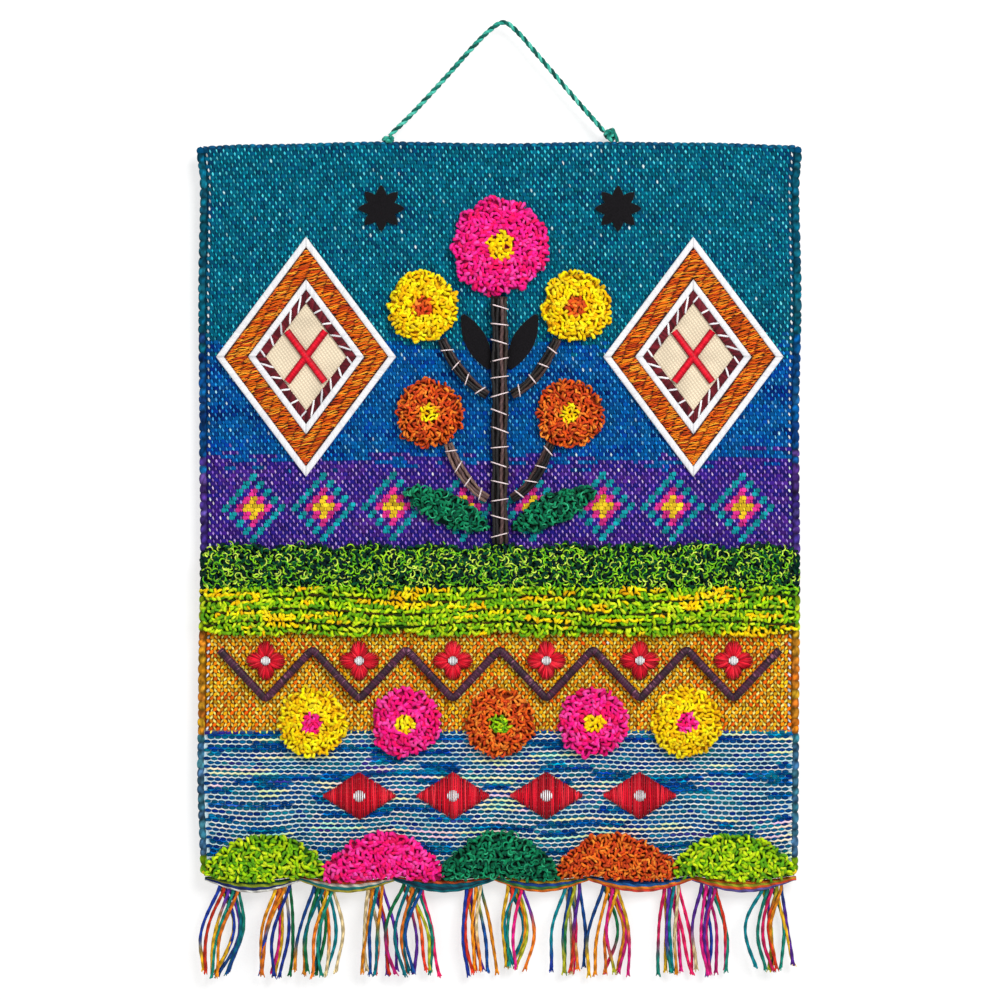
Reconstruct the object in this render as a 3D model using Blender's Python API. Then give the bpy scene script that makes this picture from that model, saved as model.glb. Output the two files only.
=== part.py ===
"""Woven wall hanging: a plain-woven cloth on a cord, with raised yarn motifs and a fringe.

Run with blender --background --python part.py. Sizes are in millimetres until add_piece makes metres.
X runs to the right, Y towards the wall and Z up. The origin is where the cord bears on its nail.
Places on the cloth are given as across, to the right of its middle, and down, from its top edge.
"""

import math

import bmesh
import bpy
from mathutils import Vector, geometry, noise

MM = 0.001

# Driving sizes
CLOTH_WIDTH = 360.0
CLOTH_HEIGHT = 437.0
CLOTH_THICK = 3.0
CORD_THICK = 3.5
CORD_RISE = 73.0  # from the top edge up to the nail
CLOTH_MIDDLE_X = -2.7  # the nail sits a little right of the cloth's middle
SEAT_GAP = 0.35  # between a sewn piece and the cloth

# The cloth's mesh
COLUMNS_PER_BUNDLE = 4
CLOTH_ROWS = 12

# The soft waves in which the cloth hangs: height and spread of each, and of the lifted corner
BROAD_WAVE = (1.5, 58.0)
SLOW_WAVE = (0.8, 72.0)
SLOW_SLANT = 140.0
CORNER_LIFT = (2.2, 60.0)
STILL_SHARE = 0.35  # the broad wave's share at the top edge

# How far the four edges stray from a rectangle: place along the edge, and the shift
TOP_RISE = ((-180, -1.9), (-150, -0.7), (-67, 1.2), (0, 0.2), (66, 1.2), (120, 0.7), (180, -1.0))
LEFT_SHIFT = ((0, -1.0), (22, 1.2), (90, 0.0), (180, 0.6), (232, 1.2), (330, 0.0), (375, -0.5), (440, 1.4))
RIGHT_SHIFT = ((0, 0.6), (25, -1.0), (90, 0.2), (165, -1.2), (260, -0.6), (350, -1.2), (440, -1.8))

# The cord's route, chosen by hand: x and z
CORD_ROUTE = (
    (-67.4, -64.8), (-65.0, -62.6), (-55.8, -53.6), (-44.0, -41.0), (-31.8, -27.6), (-19.6, -13.9),
    (-8.3, -2.6), (0.0, 1.75), (8.3, -4.3), (20.1, -17.8), (32.3, -32.0), (44.6, -46.3),
    (55.6, -58.7), (58.7, -62.3),
)
CORD_STEPS = 2  # curve steps between two route points

# Knots: place across, and the height and radius of each turn of the profile
KNOTS = {
    "knot_left": (-66.6, ((0.3, 2.8), (2.2, 4.3), (4.2, 4.1), (5.6, 2.4))),
    "knot_right": (66.3, ((0.3, 2.8), (2.6, 4.0), (5.2, 3.2), (7.0, 2.9), (9.4, 3.5), (11.0, 2.2))),
}
KNOT_SIDES = 10
KNOT_FLAT = 0.85  # a knot's depth as a share of its width

# The header bundles end at these places across
HEADER_ENDS = (-175.2, -119.4, -63.0, -3.0, 53.4, 115.2, 176.4)
HEADER_END_GAP = 0.5
HEM_DROP = 3.0  # how far the hem hangs between two bundle ends
HEADER_DEEP = 6.5  # height of a bundle at its middle
HEADER_THIN = 2.6  # and at its ends
HEADER_HALF = 3.4  # half its depth, front to back
HEADER_SHOULDER = 0.6  # height of its widest place, as a share of its own
STATION_STEP = 9.0

# Tassels: middle of the roots, strands in a layer, and the shift of the front and back layers at
# their middle and at their ends, with the pitch of the ends
TASSELS = (
    # across, strands, front_bow, back_bow, front_end, back_end, end_pitch, length
    (-162.2, 5, -7.0, 6.0, -12.0, -4.0, 2.7, 50.0),
    (-130.0, 4, -5.0, 1.5, -11.0, -3.0, 3.6, 51.0),
    (-105.6, 5, -4.0, 4.0, -9.0, 1.0, 3.2, 49.5),
    (-74.6, 4, -1.5, 3.0, -3.0, 5.5, 2.8, 49.5),
    (-52.0, 5, -5.5, 4.5, -6.0, 8.5, 3.0, 50.0),
    (-15.6, 4, -3.0, 2.0, -1.0, 6.5, 3.2, 49.5),
    (9.2, 4, -4.5, 5.5, -1.5, 1.5, 2.7, 46.0),
    (43.8, 4, -3.0, 1.5, -6.5, 3.5, 3.4, 49.0),
    (66.6, 4, -4.5, 5.5, -4.5, 3.5, 3.2, 50.5),
    (103.2, 4, -2.5, 2.0, -1.5, 7.5, 3.1, 50.0),
    (125.4, 4, -4.5, 4.0, -1.0, 7.0, 3.4, 49.5),
    (163.6, 5, -6.5, 1.5, -3.0, 6.0, 3.0, 46.5),
)
ROOT_PITCH = 2.75
STRAND_WIDE = 2.2
LAYER_GAP = 0.4  # half the space between the two layers
STRAND_RINGS = 5
LENGTH_SPREAD = 1.6

# The plant in the middle: wrapped cords, pile blooms and leaves
STEM_FOOT = 238.0
STEM_TOP = 90.2
STEM_HALF = (5.0, 3.2)  # half the width and half the height
STEM_STEPS = 12
TUBE_SIDES = 8
BRANCH_HALF = (3.2, 2.4)
BRANCH_STEPS = 8
BRANCHES = {
    # start, bend and end, for the right side
    "high": ((7.2, 149.0), (24.0, 140.0), (34.6, 115.5)),
    "low": ((7.2, 211.0), (22.0, 203.0), (30.7, 178.0)),
}
BLOOMS = {
    # name: across, down, radius, height, material
    "bloom_top": (0.0, 60.0, 27.0, 8.0, "pile_pink"),
    "bloom_left_high": (-46.0, 96.0, 19.5, 7.0, "pile_yellow"),
    "bloom_right_high": (46.0, 96.0, 19.5, 7.0, "pile_yellow"),
    "bloom_left_low": (-42.0, 160.0, 18.5, 7.0, "pile_orange"),
    "bloom_right_low": (42.0, 160.0, 18.5, 7.0, "pile_orange"),
}
LEAVES = {
    # name: foot, tip, half width, height and material, for the right side
    "felt_leaf": ((6.0, 133.0), (22.0, 101.0), 6.5, 1.3, "felt_black"),
    "pile_leaf": ((7.2, 229.0), (56.0, 206.0), 9.0, 6.0, "pile_green"),
}
LEAF_TAPER = 0.85
LEAF_CLIP = 0.04  # the share of its curve that a leaf leaves out at each end

# Looped pile: the rows and lumps of its top, and the locks at its rim
PILE_SPOKES = 18
LOCK_DEPTH = 0.07
WOBBLE = 0.03
RIM_SHARE = 0.55
PILE_LUMP = 0.8
LUMP_SIZE = 8.0
DOME = ((1.0, 0.0), (0.98, 0.55), (0.72, 0.93), (0.3, 1.02))  # shares of the radius and the height

# The felt stars beside the top bloom
STAR_ACROSS = 71.0
STAR_DOWN = 37.0
STAR_RADIUS = 14.0
STAR_NOTCH = 0.6
STAR_THICK = 1.3
STAR_POINTS = 8

SHARPNESS = 0.98  # how close a slab's side corners come to a point

# The two framed diamonds: each part's inner and outer share of the full size
DIAMOND_ACROSS = 116.0
DIAMOND_DOWN = 126.0
DIAMOND_HALF = (54.0, 72.0)
DIAMOND_PARTS = {
    # name: inner share, outer share, thickness
    "outer_strip": (0.912, 1.0, 2.4),
    "stitched": (0.655, 0.903, 2.6),
    "inner_strip": (0.458, 0.646, 2.4),
}
DIAMOND_STEPS = 3  # along each side
PATCH_SHARE = 0.449
PATCH_THICK = 1.0
SLAT_HALF = 2.2
SLAT_THICK = 2.0
SLAT_REACH = 19.2
SLAT_WAY = (0.6, 0.8)  # the slats lie along the diamond's sides

# Pile bands: top and bottom places, scallops
BAND_HALF_WIDTH = 177.0
BAND_GRID = (36, 3)
BANDS = {
    # name: top, bottom, scallops on top, their depth, scallops below, their depth, height
    "pile_band_upper": (242.0, 264.6, 9, 3.6, 0, 0.0, 7.0),
    "pile_band_lower": (265.2, 289.0, 0, 0.0, 6, 3.0, 7.5),
}

# The zigzag cord with a satin flower in each upper notch
ZIGZAG_HALF = (2.6, 2.2)
ZIGZAG_TOP = 301.0
ZIGZAG_BOTTOM = 331.0
ZIGZAG_STEP = 28.0
ZIGZAG_LEGS = 12
ZIGZAG_TURN = 0.12  # share of a leg that its bend takes
FLOWER_DOWN = 308.0
FLOWER_RADIUS = 12.0
FLOWER_HEIGHT = 3.2
FLOWER_SPOKES = 16
PETAL_NOTCH = 0.5

# The row of round pile tufts, the lozenges and the mounds along the hem
TUFTS_ACROSS = (-112.0, -56.0, 0.0, 56.0, 112.0)
TUFT_DOWN = 345.0
TUFT_RADIUS = 19.0
TUFT_HEIGHT = 7.5
LOZENGES_ACROSS = (-84.0, -28.0, 28.0, 84.0)
LOZENGE_DOWN = 389.0
LOZENGE_HALF = (22.0, 14.0)
LOZENGE_HEIGHT = 3.0
MOUND_TOP = 411.0
MOUND_WIDE = 70.0
MOUND_GAP = 0.8
MOUND_COLOURS = ("pile_lime", "pile_pink", "pile_green", "pile_orange", "pile_lime")
MOUND_HEIGHT = 7.5
MOUND_GRID = (12, 3)
MOUND_CLIP = 0.06  # the share of its arch that a mound leaves out at each end
MOUND_LOCK = 1.1

MATERIALS = {
    # name: colour as red, green and blue of 255, roughness
    "ground_weave": ((0, 106, 132), 0.8),
    "cord_green": ((16, 150, 130), 0.6),
    "fringe_yarn": ((190, 90, 60), 0.75),
    "pile_green": ((4, 84, 58), 0.85),
    "pile_lime": ((140, 180, 30), 0.85),
    "pile_yellow": ((245, 205, 20), 0.85),
    "pile_pink": ((240, 50, 140), 0.85),
    "pile_orange": ((215, 90, 25), 0.85),
    "wrap_brown": ((42, 26, 26), 0.7),
    "felt_black": ((14, 12, 14), 0.9),
    "satin_red": ((205, 20, 45), 0.45),
    "strip_white": ((232, 230, 226), 0.6),
    "stitch_orange": ((205, 100, 30), 0.8),
    "linen_cream": ((225, 205, 175), 0.85),
}


def linear(channel):
    """One colour channel of 255 as the linear value that a shader takes."""
    share = channel / 255
    return share / 12.92 if share <= 0.04045 else ((share + 0.055) / 1.055) ** 2.4


def material(name):
    """The material of that name, made once."""
    made = bpy.data.materials.get(name)
    if made:
        return made
    colour, roughness = MATERIALS[name]
    made = bpy.data.materials.new(name)
    made.use_nodes = True
    shader = made.node_tree.nodes["Principled BSDF"]
    shader.inputs["Base Color"].default_value = (*map(linear, colour), 1)
    shader.inputs["Roughness"].default_value = roughness
    shader.inputs["Metallic"].default_value = 0
    return made


def between(table, at):
    """The value at a place in a short table of (place, value), eased between its rows."""
    if at <= table[0][0]:
        return table[0][1]
    for (low, low_value), (high, high_value) in zip(table, table[1:]):
        if at <= high:
            share = (at - low) / (high - low)
            eased = share * share * (3 - 2 * share)
            return low_value + (high_value - low_value) * eased
    return table[-1][1]


def hem_drop(across):
    """How far the hem hangs below the cloth's plain height, in one swag for each header bundle."""
    for start, end in zip(HEADER_ENDS, HEADER_ENDS[1:]):
        if start <= across <= end:
            return HEM_DROP * math.sin(math.pi * (across - start) / (end - start))
    return 0.0


def sway(across, down):
    """Y of the middle of the cloth: the soft waves in which it hangs."""
    growing = STILL_SHARE + (1 - STILL_SHARE) * down / CLOTH_HEIGHT
    broad = BROAD_WAVE[0] * math.sin(across / BROAD_WAVE[1] + 0.6) * growing
    slow = SLOW_WAVE[0] * math.sin(down / SLOW_WAVE[1] + across / SLOW_SLANT + 1.1)
    far = (across + CLOTH_WIDTH / 2) ** 2 + down**2
    corner = CORNER_LIFT[0] * math.exp(-far / CORNER_LIFT[1] ** 2)
    return broad + slow - corner


def spot(across, down, lift):
    """The point that lies lift in front of the cloth's front face."""
    y = sway(across, down) - CLOTH_THICK / 2 - lift
    return Vector((CLOTH_MIDDLE_X + across, y, -CORD_RISE - down))


def add_piece(name, points, faces, colour):
    """An object of that name from points in millimetres, with its faces turned outwards."""
    mesh = bpy.data.meshes.new(name)
    mesh.from_pydata([tuple(MM * x for x in p) for p in points], [], faces)
    body = bmesh.new()
    body.from_mesh(mesh)
    bmesh.ops.recalc_face_normals(body, faces=body.faces)
    body.to_mesh(mesh)
    body.free()
    mesh.materials.append(material(colour))
    mesh.shade_smooth()
    mesh.set_sharp_from_angle(angle=math.radians(40))
    piece = bpy.data.objects.new(name, mesh)
    bpy.context.scene.collection.objects.link(piece)
    return piece


def loft(rings, closed=False):
    """Points and faces of a skin over rings of equal length, with capped ends unless it is closed."""
    sides = len(rings[0])
    points = [p for ring in rings for p in ring]
    count = len(rings) if closed else len(rings) - 1
    faces = []
    for r in range(count):
        here, there = r * sides, (r + 1) % len(rings) * sides
        for s in range(sides):
            t = (s + 1) % sides
            faces.append((here + s, here + t, there + t, there + s))
    if not closed:
        faces.append(tuple(range(sides)))
        faces.append(tuple(range(len(points) - sides, len(points))))
    return points, faces


def slab(columns, rows, place, lift):
    """A closed slab on a grid: place(u, v) is across and down, lift(u, v) its front above the cloth."""
    shares_u = [i / columns for i in range(columns + 1)]
    shares_v = [j / rows for j in range(rows + 1)]
    front = [spot(*place(u, v), lift(u, v)) for u in shares_u for v in shares_v]
    back = [spot(*place(u, v), SEAT_GAP) for u in shares_u for v in shares_v]
    wide, shift = rows + 1, len(front)
    faces = []
    for i in range(columns):
        for j in range(rows):
            a, b = i * wide + j, (i + 1) * wide + j
            faces.append((a, b, b + 1, a + 1))
            faces.append((shift + a, shift + a + 1, shift + b + 1, shift + b))
    rim = [i * wide for i in range(columns)]
    rim += [columns * wide + j for j in range(rows)]
    rim += [i * wide + rows for i in range(columns, 0, -1)]
    rim += list(range(rows, 0, -1))
    for a, b in zip(rim, rim[1:] + rim[:1]):
        faces.append((a, b, shift + b, shift + a))
    return front + back, faces


def lump(across, down):
    """An uneven height, above and below zero, for the top of a pile."""
    return PILE_LUMP * noise.noise(Vector((across / LUMP_SIZE, down / LUMP_SIZE, 0.5)))


def pile_lift(place, height, steep):
    """The top of a pile bed as a function of u and v: lower at its rim, by its two slopes, and uneven."""

    def lift(u, v):
        rise = min(steep[0] * min(u, 1 - u), steep[1] * min(v, 1 - v))
        return height * min(1.0, RIM_SHARE + rise) + lump(*place(u, v))

    return lift


def rosette(across, down, radius, height, rim, uneven):
    """A domed round slab, whose rim is a list of shares of the radius, one for each spoke."""
    spokes = len(rim)
    rings = []
    for share, rise in DOME:
        ring = []
        for s in range(spokes):
            turn = 2 * math.pi * s / spokes
            reach = radius * share * rim[s - s % 2 if uneven and share < DOME[1][0] else s]
            x, y = across + reach * math.cos(turn), down + reach * math.sin(turn)
            lift = max(SEAT_GAP, rise * height)
            if uneven and rise:
                lift += lump(x, y)
            ring.append(spot(x, y, lift))
        rings.append(ring)
    return loft(rings)


def tube_on_cloth(path, half):
    """A yarn-wrapped cord that lies on the cloth along a path of places."""
    half_wide, half_high = half
    rings = []
    for i, (across, down) in enumerate(path):
        before = path[i - 1] if i else path[0]
        after = path[i + 1] if i + 1 < len(path) else path[-1]
        along = Vector((after[0] - before[0], after[1] - before[1])).normalized()
        side = Vector((-along.y, along.x))
        ring = []
        for s in range(TUBE_SIDES):
            turn = 2 * math.pi * (s + 0.5) / TUBE_SIDES
            reach = half_wide * math.cos(turn)
            lift = SEAT_GAP + half_high * (1 + math.sin(turn))
            ring.append(spot(across + side.x * reach, down + side.y * reach, lift))
        rings.append(ring)
    return loft(rings)


def bend_through(start, bend, end, steps):
    """Places along a curve from start to end that leans towards bend."""
    found = []
    for i in range(steps + 1):
        t = i / steps
        shares = ((1 - t) ** 2, 2 * t * (1 - t), t**2)
        found.append(tuple(sum(s * x for s, x in zip(shares, three)) for three in zip(start, bend, end)))
    return found


def cloth_columns():
    """Places across where the cloth's mesh has a column: each header bundle's end is one of them."""
    columns = [-CLOTH_WIDTH / 2]
    for start, end in zip(HEADER_ENDS, HEADER_ENDS[1:]):
        columns += [start + (end - start) * k / COLUMNS_PER_BUNDLE for k in range(COLUMNS_PER_BUNDLE)]
    return [*columns, HEADER_ENDS[-1], CLOTH_WIDTH / 2]


def make_cloth():
    """The woven ground: one sheet with slightly uneven edges and a scalloped hem."""
    columns = cloth_columns()
    points, faces = [], []
    for i, plain in enumerate(columns):
        for j in range(CLOTH_ROWS + 1):
            across = plain
            if i == 0:
                across += between(LEFT_SHIFT, CLOTH_HEIGHT * j / CLOTH_ROWS)
            if i == len(columns) - 1:
                across += between(RIGHT_SHIFT, CLOTH_HEIGHT * j / CLOTH_ROWS)
            top = -between(TOP_RISE, across)
            bottom = CLOTH_HEIGHT + hem_drop(plain)
            down = top + (bottom - top) * j / CLOTH_ROWS
            points.append((CLOTH_MIDDLE_X + across, sway(across, down), -CORD_RISE - down))
    wide = CLOTH_ROWS + 1
    for i in range(len(columns) - 1):
        for j in range(CLOTH_ROWS):
            here, there = i * wide + j, (i + 1) * wide + j
            faces.append((here, here + 1, there + 1, there))
    cloth = add_piece("cloth", points, faces, "ground_weave")
    solid = cloth.modifiers.new("thickness", "SOLIDIFY")
    solid.thickness = CLOTH_THICK * MM
    solid.offset = 0


def make_cord():
    """The hanging cord: a tube on a smooth curve through the route's points."""
    route = [Vector((x, 0, z)) for x, z in CORD_ROUTE]
    padded = [2 * route[0] - route[1], *route, 2 * route[-1] - route[-2]]
    line = []
    for before, start, end, after in zip(padded, padded[1:], padded[2:], padded[3:]):
        out, into = (end - before) / 6, (after - start) / 6
        steps = geometry.interpolate_bezier(start, start + out, end - into, end, CORD_STEPS + 1)
        line += steps[:-1]
    line.append(route[-1])
    curve = bpy.data.curves.new("hanging_cord", "CURVE")
    curve.dimensions = "3D"
    curve.bevel_depth = CORD_THICK / 2 * MM
    curve.bevel_resolution = 2
    curve.use_fill_caps = True
    spline = curve.splines.new("POLY")
    spline.points.add(len(line) - 1)
    for point, place in zip(spline.points, line):
        point.co = (*(MM * place), 1)
    curve.materials.append(material("cord_green"))
    cord = bpy.data.objects.new("hanging_cord", curve)
    bpy.context.scene.collection.objects.link(cord)


def make_knots():
    """The cord's two knots, which sit on the top edge of the cloth."""
    for name, (across, profile) in KNOTS.items():
        base = -CORD_RISE + between(TOP_RISE, across)
        middle = Vector((CLOTH_MIDDLE_X + across, sway(across, 0), base))
        rings = []
        for height, radius in profile:
            ring = []
            for s in range(KNOT_SIDES):
                turn = 2 * math.pi * s / KNOT_SIDES
                out = Vector((radius * math.cos(turn), KNOT_FLAT * radius * math.sin(turn), height))
                ring.append(middle + out)
            rings.append(ring)
        add_piece(name, *loft(rings), "cord_green")


def strand_way(tassel, layer, index, share):
    """How far a strand has moved across and dropped at that share of its length."""
    across, count, front_bow, back_bow, front_end, back_end, end_pitch, length = tassel
    bow, end = (front_bow, front_end) if layer < 0 else (back_bow, back_end)
    place = index - (count - 1) / 2
    fan = place * (end_pitch - ROOT_PITCH) * share
    belly = bow * math.sin(math.pi * share) ** 1.2
    reach = length + LENGTH_SPREAD * math.sin(5.1 * index + 2.3 * layer + across)
    return fan + belly + end * share**1.5, reach * share


def header_section(across, start, end):
    """The bundle's outline at one place: first the four points of its underside, back to front."""
    share = (across - start) / (end - start)
    full = math.sin(math.pi * min(max(share, 0), 1))
    top = CLOTH_HEIGHT + hem_drop(across) + SEAT_GAP
    deep = HEADER_THIN + (HEADER_DEEP - HEADER_THIN) * full
    middle = Vector((CLOTH_MIDDLE_X + across, sway(across, CLOTH_HEIGHT), -CORD_RISE - top - deep))
    foot = LAYER_GAP + STRAND_WIDE
    under = [Vector((0, y, 0)) for y in (foot, LAYER_GAP, -LAYER_GAP, -foot)]
    profile = ((-HEADER_HALF, HEADER_SHOULDER), (0, 1), (HEADER_HALF, HEADER_SHOULDER))
    over = [Vector((0, y, z * deep)) for y, z in profile]
    return [middle + p for p in under + over]


def make_header(number, start, end):
    """One header bundle with the strands of its tassels grown from its underside."""
    tassels = [t for t in TASSELS if start < t[0] < end]
    roots = {}
    for tassel in tassels:
        for index in range(tassel[1]):
            middle = tassel[0] + (index - (tassel[1] - 1) / 2) * ROOT_PITCH
            roots[middle - STRAND_WIDE / 2] = (tassel, index, middle)
    stations = [start]
    for left in sorted(roots):
        stations += [left, left + STRAND_WIDE]
    stations.append(end)
    filled = [stations[0]]
    for station in stations[1:]:
        parts = max(1, math.ceil((station - filled[-1]) / STATION_STEP))
        low = filled[-1]
        filled += [low + (station - low) * k / parts for k in range(1, parts)]
        filled.append(station)
    rings = [header_section(a, start, end) for a in filled]
    points, faces = loft(rings)
    sides = len(rings[0])
    for left, (tassel, index, middle) in roots.items():
        column = filled.index(left)
        for layer, corner in ((1, 0), (-1, 2)):
            a, b = column * sides + corner, (column + 1) * sides + corner
            cell = (a, a + 1, b + 1, b)
            faces.remove((a, a + 1, b + 1, b))
            faces += grow_strand(points, cell, tassel, layer, index)
    add_piece(f"header_{number}", points, faces, "fringe_yarn")


def grow_strand(points, cell, tassel, layer, index):
    """Extrudes one strand from a cell of the underside, and returns its faces."""
    faces, last = [], cell
    for r in range(1, STRAND_RINGS + 1):
        shift, drop = strand_way(tassel, layer, index, r / STRAND_RINGS)
        first = len(points)
        points += [points[c] + Vector((shift, 0, -drop)) for c in cell]
        ring = tuple(range(first, first + len(cell)))
        for k in range(len(cell)):
            n = (k + 1) % len(cell)
            faces.append((last[k], last[n], ring[n], ring[k]))
        last = ring
    faces.append(last)
    return faces


def make_plant():
    """The stem, its branches, the pile blooms and the leaves."""
    stem = [(0.0, STEM_FOOT + (STEM_TOP - STEM_FOOT) * i / STEM_STEPS) for i in range(STEM_STEPS + 1)]
    add_piece("stem", *tube_on_cloth(stem, STEM_HALF), "wrap_brown")
    for side, sign in (("left", -1), ("right", 1)):
        for level, places in BRANCHES.items():
            start, bend, end = [(sign * a, d) for a, d in places]
            path = bend_through(start, bend, end, BRANCH_STEPS)
            add_piece(f"branch_{side}_{level}", *tube_on_cloth(path, BRANCH_HALF), "wrap_brown")
        for name, (foot, tip, *rest) in LEAVES.items():
            make_leaf(f"{name}_{side}", (sign * foot[0], foot[1]), (sign * tip[0], tip[1]), *rest)
    for name, (across, down, radius, height, colour) in BLOOMS.items():
        shape = rosette(across, down, radius, height, lock_rim(), uneven=True)
        add_piece(name, *shape, colour)


def lock_rim():
    """A pile's rim: every other spoke is a lock that stands out."""
    rim = []
    for spoke in range(PILE_SPOKES):
        turn = 2 * math.pi * spoke / PILE_SPOKES
        rim.append(1 + WOBBLE * math.sin(3 * turn + 1) + (LOCK_DEPTH if spoke % 2 else 0))
    return rim


def make_stars():
    """Two eight-pointed stars of cut felt."""
    for side, sign in (("left", -1), ("right", 1)):
        outline = []
        for point in range(2 * STAR_POINTS):
            turn = math.pi * point / STAR_POINTS
            reach = STAR_RADIUS * (STAR_NOTCH if point % 2 else 1.0)
            outline.append((sign * STAR_ACROSS + reach * math.cos(turn), STAR_DOWN + reach * math.sin(turn)))
        rings = [[spot(a, d, lift) for a, d in outline] for lift in (SEAT_GAP, SEAT_GAP + STAR_THICK)]
        add_piece(f"felt_star_{side}", *loft(rings), "felt_black")


def make_leaf(name, foot, tip, half, height, colour):
    """A pointed leaf from foot to tip, of pile with an uneven top or of flat felt."""
    foot, tip = Vector(foot), Vector(tip)
    along = tip - foot
    side = Vector((-along.y, along.x)).normalized()

    def place(u, v):
        wide = half * math.sin(math.pi * (LEAF_CLIP + (1 - 2 * LEAF_CLIP) * u)) ** LEAF_TAPER
        at = foot + along * u + side * wide * (2 * v - 1)
        return at.x, at.y

    if colour.startswith("pile"):
        shape = slab(8, 3, place, pile_lift(place, height, (2, 2)))
    else:
        shape = slab(6, 2, place, lambda u, v: SEAT_GAP + height)
    add_piece(name, *shape, colour)


def diamond_corner(centre, share, corner):
    """One corner of a diamond of that share of the full size."""
    x, y = ((1, 0), (0, 1), (-1, 0), (0, -1))[corner % 4]
    return Vector((centre[0] + DIAMOND_HALF[0] * share * x, centre[1] + DIAMOND_HALF[1] * share * y))


def make_diamond(side, sign):
    """A framed diamond: an outer strip, a stitched ring, an inner strip with its edging, a patch and slats."""
    centre = (sign * DIAMOND_ACROSS, DIAMOND_DOWN)
    colours = {"outer_strip": "strip_white", "stitched": "stitch_orange", "inner_strip": "strip_white"}
    for part, (inner, outer, thick) in DIAMOND_PARTS.items():
        rings = []
        for corner in range(4):
            for k in range(DIAMOND_STEPS):
                ring = []
                for share, lift in ((inner, SEAT_GAP), (inner, thick), (outer, thick), (outer, SEAT_GAP)):
                    a = diamond_corner(centre, share, corner)
                    b = diamond_corner(centre, share, corner + 1)
                    at = a.lerp(b, k / DIAMOND_STEPS)
                    ring.append(spot(at.x, at.y, lift))
                rings.append(ring)
        add_piece(f"diamond_{side}_{part}", *loft(rings, closed=True), colours[part])

    def patch_place(u, v):
        reach = 1 - abs(2 * u - 1) * SHARPNESS
        x = centre[0] + DIAMOND_HALF[0] * PATCH_SHARE * (2 * u - 1)
        return x, centre[1] + DIAMOND_HALF[1] * PATCH_SHARE * reach * (2 * v - 1)

    patch = slab(4, 2, patch_place, lambda u, v: PATCH_THICK)
    add_piece(f"diamond_{side}_patch", *patch, "linen_cream")
    add_piece(f"diamond_{side}_slats", *cross_slats(centre), "satin_red")


def cross_slats(centre):
    """Two crossed slats as one outline, lying on the patch along the diamond's two slopes."""
    x, y = SLAT_WAY
    ways = [Vector(way) for way in ((x, y), (-x, y), (-x, -y), (x, -y))]
    notches = ((0, SLAT_HALF / x), (-SLAT_HALF / y, 0), (0, -SLAT_HALF / x), (SLAT_HALF / y, 0))
    outline = []
    for way, notch in zip(ways, notches):
        beside = Vector((-way.y, way.x)) * SLAT_HALF
        for at in (way * SLAT_REACH - beside, way * SLAT_REACH + beside, Vector(notch)):
            outline.append((centre[0] + at.x, centre[1] + at.y))
    base = PATCH_THICK + SEAT_GAP
    rings = [[spot(a, d, lift) for a, d in outline] for lift in (base, base + SLAT_THICK)]
    return loft(rings)


def band_edges(name, u):
    """Top and bottom place of a pile band at that share of its width."""
    top, bottom, scallops_top, deep_top, scallops_low, deep_low, _ = BANDS[name]
    if scallops_top:
        top -= deep_top * abs(math.sin(math.pi * scallops_top * u))
    if scallops_low:
        bottom += deep_low * abs(math.sin(math.pi * scallops_low * u))
    return top, bottom


def make_bands():
    """Two bands of looped pile from edge to edge."""
    for name in BANDS:
        height = BANDS[name][-1]

        def place(u, v, name=name):
            top, bottom = band_edges(name, u)
            return BAND_HALF_WIDTH * (2 * u - 1), top + (bottom - top) * v

        colour = "pile_green" if name.endswith("upper") else "pile_lime"
        add_piece(name, *slab(*BAND_GRID, place, pile_lift(place, height, (60, 2))), colour)


def petal_rim():
    """A flower's rim: four rounded petals."""
    turns = [2 * math.pi * spoke / FLOWER_SPOKES for spoke in range(FLOWER_SPOKES)]
    return [PETAL_NOTCH + (1 - PETAL_NOTCH) * abs(math.cos(2 * turn)) ** 0.7 for turn in turns]


def make_zigzag():
    """The zigzag cord and the satin flowers in its notches."""
    start = -ZIGZAG_STEP * ZIGZAG_LEGS / 2
    path = []
    for leg in range(ZIGZAG_LEGS):
        low, high = (ZIGZAG_TOP, ZIGZAG_BOTTOM) if leg % 2 == 0 else (ZIGZAG_BOTTOM, ZIGZAG_TOP)
        for t in (0.0, ZIGZAG_TURN, 1 - ZIGZAG_TURN):
            path.append((start + ZIGZAG_STEP * (leg + t), low + (high - low) * t))
    path.append((start + ZIGZAG_STEP * ZIGZAG_LEGS, ZIGZAG_TOP))
    add_piece("zigzag_cord", *tube_on_cloth(path, ZIGZAG_HALF), "wrap_brown")
    for n in range(ZIGZAG_LEGS // 2):
        across = start + ZIGZAG_STEP * (2 * n + 1)
        shape = rosette(across, FLOWER_DOWN, FLOWER_RADIUS, FLOWER_HEIGHT, petal_rim(), uneven=False)
        add_piece(f"flower_{n + 1}", *shape, "satin_red")


def make_tufts_and_lozenges():
    """The row of round tufts, and the lozenges below them."""
    colours = ("pile_yellow", "pile_pink", "pile_orange", "pile_pink", "pile_yellow")
    for n, (across, colour) in enumerate(zip(TUFTS_ACROSS, colours)):
        shape = rosette(across, TUFT_DOWN, TUFT_RADIUS, TUFT_HEIGHT, lock_rim(), uneven=True)
        add_piece(f"tuft_{n + 1}", *shape, colour)
    for n, middle in enumerate(LOZENGES_ACROSS):

        def place(u, v, middle=middle):
            deep = LOZENGE_HALF[1] * (1 - abs(2 * u - 1) * SHARPNESS)
            return middle + LOZENGE_HALF[0] * (2 * u - 1), LOZENGE_DOWN + deep * (2 * v - 1)

        def lift(u, v):
            inside = 1 - max(abs(2 * u - 1), abs(2 * v - 1))
            return LOZENGE_HEIGHT * min(1.0, RIM_SHARE + 1.6 * inside)

        add_piece(f"lozenge_{n + 1}", *slab(6, 4, place, lift), "satin_red")


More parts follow.
